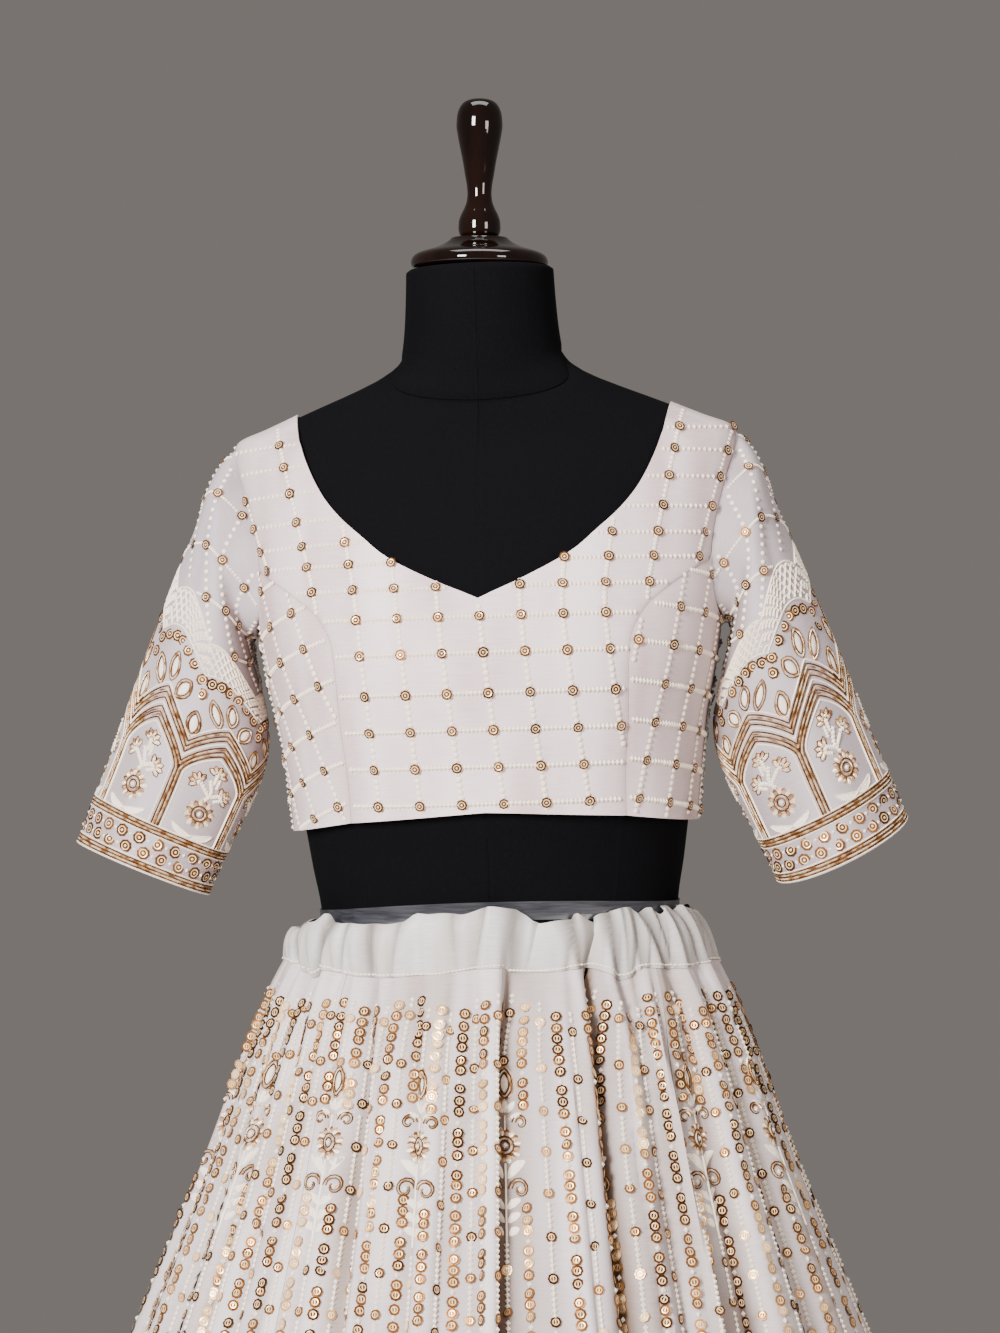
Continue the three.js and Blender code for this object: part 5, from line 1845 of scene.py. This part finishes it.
def work_scales(needle):
    """Cream scales, each a small arch, in staggered rows between two scalloped outlines."""
    around = np.linspace(-ROUND / 2 + 0.2, ROUND / 2 - 0.2, 145)
    for up in (6.5, 31.5):
        needle.thread(stacked(around, scallop(around) + up), False, 1.6, 1.0)
    pitch = REPEAT / 9
    for row in range(5):
        for i in range(REPEATS * 9):
            x = -ROUND / 2 + pitch * (i + 0.5 * (row % 2)) + 3.2
            bow = ring_line(pitch * 0.47, (x, 0), 4, 180)
            bow[:, 1] += scallop(x) + 9 + row * 4.4
            needle.thread(bow, False, 2.0, 1.3)


def sleeve_chart(grid, start):
    """Flat places of the border, x along it and y up from the cuff, onto one sleeve."""
    surface = Surface(grid["outer"], grid["normal"])
    rows, cols = grid["outer"].shape[:2]
    whole, first = grid["turn"][-1] - grid["turn"][0], grid["turn"][0]

    def to_cloth(places):
        turn = start + places[..., 0] * 60 / REPEAT
        u = ((turn - first) % whole) / whole * (cols - 1)
        v = np.interp(grid["length"][-1] - places[..., 1], grid["length"], np.arange(rows))
        return surface.at(u, v, ON_CLOTH)
    return to_cloth


# %% Work the sleeves
for name, start in (("left", 416.0), ("right", 421.0)):
    grid = sleeves[name]
    gold, cream, rosettes = Stitches(), Stitches(), Stitches()
    to_cloth = sleeve_chart(grid, start)
    whole = Needle(gold, cream, to_cloth)
    work_lines(whole, 0.9)
    work_lines(whole, 30.4)
    work_scales(whole)
    for repeat in range(REPEATS):
        def shifted(places, shift=repeat * REPEAT):
            return to_cloth(places + np.array([shift, 0]))
        work_arch(Needle(gold, cream, shifted))
        work_spray(Needle(gold, cream, shifted))
    at = np.arange(23) * ROUND / 23
    band = np.concatenate([stacked(at, 14.4), stacked(at + 7.3, 24.6)])
    rosettes.copies(SEQUIN, to_cloth(band), 5.3, random.uniform(0.0, 0.4, len(band)), tilt=0.12)
    whole.knots(band + (7.3, 0), 1.7)
    at = np.arange(39) * ROUND / 39
    chain = np.concatenate([stacked(at, scallop(at)), [(REPEAT * (i + 0.5), 147) for i in range(REPEATS)]])
    rosettes.copies(SEQUIN, to_cloth(chain), 4.9, random.uniform(0.0, 0.3, len(chain)), tilt=0.15)
    i, j = np.arange(-9, 10), np.arange(-9, 10.0)
    for kind, places in enumerate(check_places(i, j)):
        across, up = places[0] * COLUMN_PITCH, places[1] * ROW_PITCH
        x = across * cosine(32) - up * sine(32)
        y = 235 + across * sine(32) + up * cosine(32)
        keep = (np.abs(x) < ROUND / 2) & (y > scallop(x) + 35) & (y < grid["length"][-1] - 3)
        place = to_cloth(stacked(x[keep], y[keep]))
        if kind == 2:
            place = (place[0] + place[2] * 1.6, *place[1:])
            rosettes.copies(SEQUIN, place, 4.1, random.uniform(0.0, 0.3, keep.sum()), tilt=0.1)
        else:
            cream.copies((KNOT, FINE_KNOT)[kind], place, (1.9, 1.6)[kind])
    sleeve = f"choli_sleeve_{name}"
    gold.sew(f"{sleeve}_zari", zari_gold, "choli_georgette", f"{sleeve}_cloth")
    cream.sew(f"{sleeve}_thread", cream_thread, "choli_georgette", f"{sleeve}_cloth")
    rosettes.sew(f"{sleeve}_rosettes", rosette_gold, "choli_georgette", f"{sleeve}_cloth")

# %% [markdown]
# ## The skirt's lines
# Lines run down every kali from just below the casing. In one line the sequins come in threes, with a
# cream knot between the threes; the next line is all cream knots, with a single sequin now and then.
# Two butas, upright flower sprigs, hang in each kali, and the lines there and beside them break off to leave
# them room.

# %% The buta's chart
LINES, TRIPLE_PITCH, GROUP_STEP = 16, 7.8, 29.0
EMBROIDERY_TOP, BUTA_TOP, HEM_MARGIN = 1011.0, 967.0, 12
BUTA_LINES = (1, 9)


def work_buta(needle):
    """A marquise bud, two loops, a sun flower, a cup of leaves, two volutes and a leafy stem."""
    needle.leaf(marquise(13, 5.6, (0, -8), 0, 10)[:-1], 1.1)
    for length, width, shade in ((16, 7.6, 0.1), (19, 10, 0.9), (22, 12.6, 0.15), (25, 15, 0.8)):
        needle.thread(marquise(length, width, (0, -8), 0, 12), True, 1.2, 0.9, shade)
    for side in (-1, 1):
        needle.leaf(marquise(11, 4.6, (side * 4.5, -25), side * -36, 8)[:-1], 1.2)
        needle.leaf(marquise(10, 4.0, (side * 8.5, -31), side * -66, 8)[:-1], 1.2)
        for reach, shade in ((7.0, 0.12), (5.6, 0.9), (4.2, 0.15)):
            needle.thread(volute(reach, (side * 12.5, -36), side, 0.95, 12), True, 1.2, 0.9, shade)
        needle.knots([(side * 12.5, -36)], 2.2)
        needle.leaf(marquise(20, 7.6, (side * 9, -70), side * -46, 12, bend=side * -1.8)[:-1], 1.4)
        for reach, shade in ((9.4, 0.12), (8.0, 0.9), (6.6, 0.15)):
            needle.thread(volute(reach, (side * 11.5, -84), side, 1.1, 14), True, 1.2, 0.9, shade)
        needle.knots([(side * 11.5, -84)], 2.2)
        for y, length in ((-95, 14), (-105, 13), (-115, 10)):
            needle.leaf(marquise(length, 6.2, (side * 6.4, y), side * -54, 8, bend=side * -1)[:-1], 1.3)
    needle.leaf(marquise(11, 4.6, (0, -24), 0, 8)[:-1], 1.2)
    needle.knots([(0, -32), (-4, -33), (4, -33)], 1.4, metal=True, shade=0.9)
    needle.thread([(0, -31), (0, -36), (0, -42)], False)
    sun_flower(needle, (0, -53), 12.5)
    needle.thread(stacked(0.0, np.linspace(-66, -126, 12)), False, 1.8, 1.1)


def line_shade(line, z):
    """Painted highlight: bright and dark stretches along each line, where the sequins catch more or less of
    the light, and a little change from one sequin to the next.
    """
    wave = np.sin(z / 47 + line * 2.1) + np.sin(z / 83 - line * 1.37) + 0.6 * np.sin(z / 21 + line * 5.3)
    return np.clip(0.36 + 0.32 * wave + 0.12 * random.normal(size=z.shape), 0, 1)


def kali_row(z):
    """The row of the kalis' grids that lies at a height."""
    return np.interp(z, kali_heights, np.arange(KALI_ROWS))


# %% Work the kalis
sequin_groups = EMBROIDERY_TOP - 22 - np.arange(40) * GROUP_STEP
triple_heights = np.concatenate([EMBROIDERY_TOP - np.arange(3) * TRIPLE_PITCH]
                                + [group - np.arange(3) * TRIPLE_PITCH for group in sequin_groups])
gap_heights = sequin_groups - 22.3
single_heights = np.concatenate([[EMBROIDERY_TOP - 8], EMBROIDERY_TOP - 40 - np.arange(40) * GROUP_STEP])
for number, grid in enumerate(kali_grids):
    surface = Surface(grid["outer"], grid["normal"])
    sequins, knots, gold, cream = Stitches(), Stitches(), Stitches(), Stitches()
    columns = KALI_COLUMNS - 1
    for line in range(LINES):
        u = (line + 0.5) / LINES * columns
        near = min(abs(line - buta) for buta in BUTA_LINES)
        own_top, own_foot = BUTA_TOP + 3, BUTA_TOP - 122
        if line % 2 == 0:
            heights, size = triple_heights, 4.55
            knot_heights = gap_heights
            clear, knot_clear = ((at < BUTA_TOP - 26) & (at > BUTA_TOP - 94) & (near == 1)
                                 for at in (heights, knot_heights))
        else:
            heights, size = single_heights, 4.25
            clear = (heights < own_top) & (heights > own_foot) & (near == 0)
            knot_heights = np.arange(EMBROIDERY_TOP + 3, SKIRT_HEM + HEM_MARGIN, -3.8)
            apart = np.abs(knot_heights[:, None] - heights[None, :]).min(1)
            knot_clear = (knot_heights < own_top) & (knot_heights > own_foot) & (near == 0) | (apart < 4)
        uneven = 4 * math.sin(line * 0.9 + number * 2) + random.uniform(-4, 4)
        z = heights[~clear & (heights > SKIRT_HEM + HEM_MARGIN)]
        z = z + uneven + random.normal(size=z.shape) * 0.5
        wander = random.normal(size=z.shape) * 0.02
        place = surface.at(u + wander, kali_row(z), 0.8)
        sequins.copies(SEQUIN, place, size, line_shade(line + number * LINES, z), tilt=0.14)
        z = knot_heights[~knot_clear & (knot_heights > SKIRT_HEM + HEM_MARGIN)] + uneven
        place = surface.at(u, kali_row(z), ON_CLOTH)
        knots.copies(FINE_KNOT, place, 2.3)
    for buta in BUTA_LINES:
        def to_cloth(places, u=(buta + 0.5) / LINES * columns):
            z = BUTA_TOP + places[..., 1] / SLANT
            width = np.interp(z, kali_heights, grid["width"])
            v = kali_row(z)
            return surface.at(u + places[..., 0] / width * columns, v, ON_CLOTH)
        work_buta(Needle(gold, cream, to_cloth))
    kali = f"skirt_kali_{number + 1}"
    sequins.sew(f"{kali}_sequins", sequin_gold, "skirt_georgette", grid["node"])
    knots.sew(f"{kali}_knots", cream_thread, "skirt_georgette", grid["node"])
    gold.sew(f"{kali}_buta_zari", zari_gold, "skirt_georgette", grid["node"])
    cream.sew(f"{kali}_buta_thread", cream_thread, "skirt_georgette", grid["node"])

# %% The casing's stitches
surface = Surface(casing_surface, grid_normals(casing_surface))
stitches = Stitches()
u = np.arange(0, 719.5, 2.0)
wander = 0.05 + 0.03 * np.sin(u / 30) + 0.015 * np.sin(u / 9)
v = np.interp(wander, casing_shares, np.arange(len(casing_shares)))
stitches.copies(FINE_KNOT, surface.at(u, v, ON_CLOTH), 1.0, wide=1.9)
stitches.sew("skirt_casing_stitches", cream_thread, "casing_satin", casing.name)

# %% [markdown]
# ## Floor and light
# A pale floor under a dim, warm grey surround, with one large soft light from the front left, a weaker
# one from the right and a strip above. Side light shows the folds, and large lights keep shadows soft.

# %% Floor and light
def floor_disc(radius, sides):
    around = np.arange(sides) * 2 * np.pi / sides
    points = [(radius * math.sin(a), -radius * math.cos(a), 0.0) for a in around]
    mesh = bpy.data.meshes.new("floor")
    mesh.from_pydata(points, [], [list(range(sides))])
    return new_object("floor", mesh)


floor = floor_disc(3.0, 96)
pale_floor = plain_finish("pale_floor", ((0.3, (0.60, 0.59, 0.57)), (0.7, (0.64, 0.63, 0.61))), 3.0, bump=0.0)
floor.data.materials.append(pale_floor)


def soft_light(name, place, aim, size, power, colour=(1, 1, 1)):
    data = bpy.data.lights.new(name, "AREA")
    data.shape = "RECTANGLE"
    data.size, data.size_y = size
    data.energy = power
    data.color = colour
    light = bpy.data.objects.new(name, data)
    light.location = place
    direction = np.array(aim) - np.array(place)
    yaw = math.atan2(direction[0], -direction[1])
    drop = math.atan2(-direction[2], math.hypot(direction[0], direction[1]))
    light.rotation_euler = (math.radians(90) - drop, 0, yaw + math.pi)
    bpy.context.scene.collection.objects.link(light)


soft_light("key_light", (-1.6, -2.8, 2.1), (0, 0, 1.1), (0.8, 1.2), 300)
soft_light("fill_light", (1.9, -2.5, 1.7), (0, 0, 1.1), (0.8, 1.2), 52, (1, 0.93, 0.88))
soft_light("top_light", (0.0, -0.2, 3.1), (0, 0, 1.2), (1.6, 0.8), 30)
surround = bpy.data.worlds.new("studio_surround")
surround.use_nodes = True
glow = surround.node_tree.nodes["Background"].inputs
glow["Color"].default_value = (0.50, 0.455, 0.425, 1)
glow["Strength"].default_value = 0.38
bpy.context.scene.world = surround

# %% [markdown]
# ## Flat sizes of the sheets
# Each sheet states the flat size that it was cut from. The kalis' widths and areas and the casing's
# run are measured on their own folded grids. The choli's panels, the sleeves and the tape were first
# guessed as a pattern. All of these but the choli's front sides were then set to the area of the
# finished cloth, so for them the two agree by construction.

# %% Sheets of cloth
print(len(sheets), "sheets")
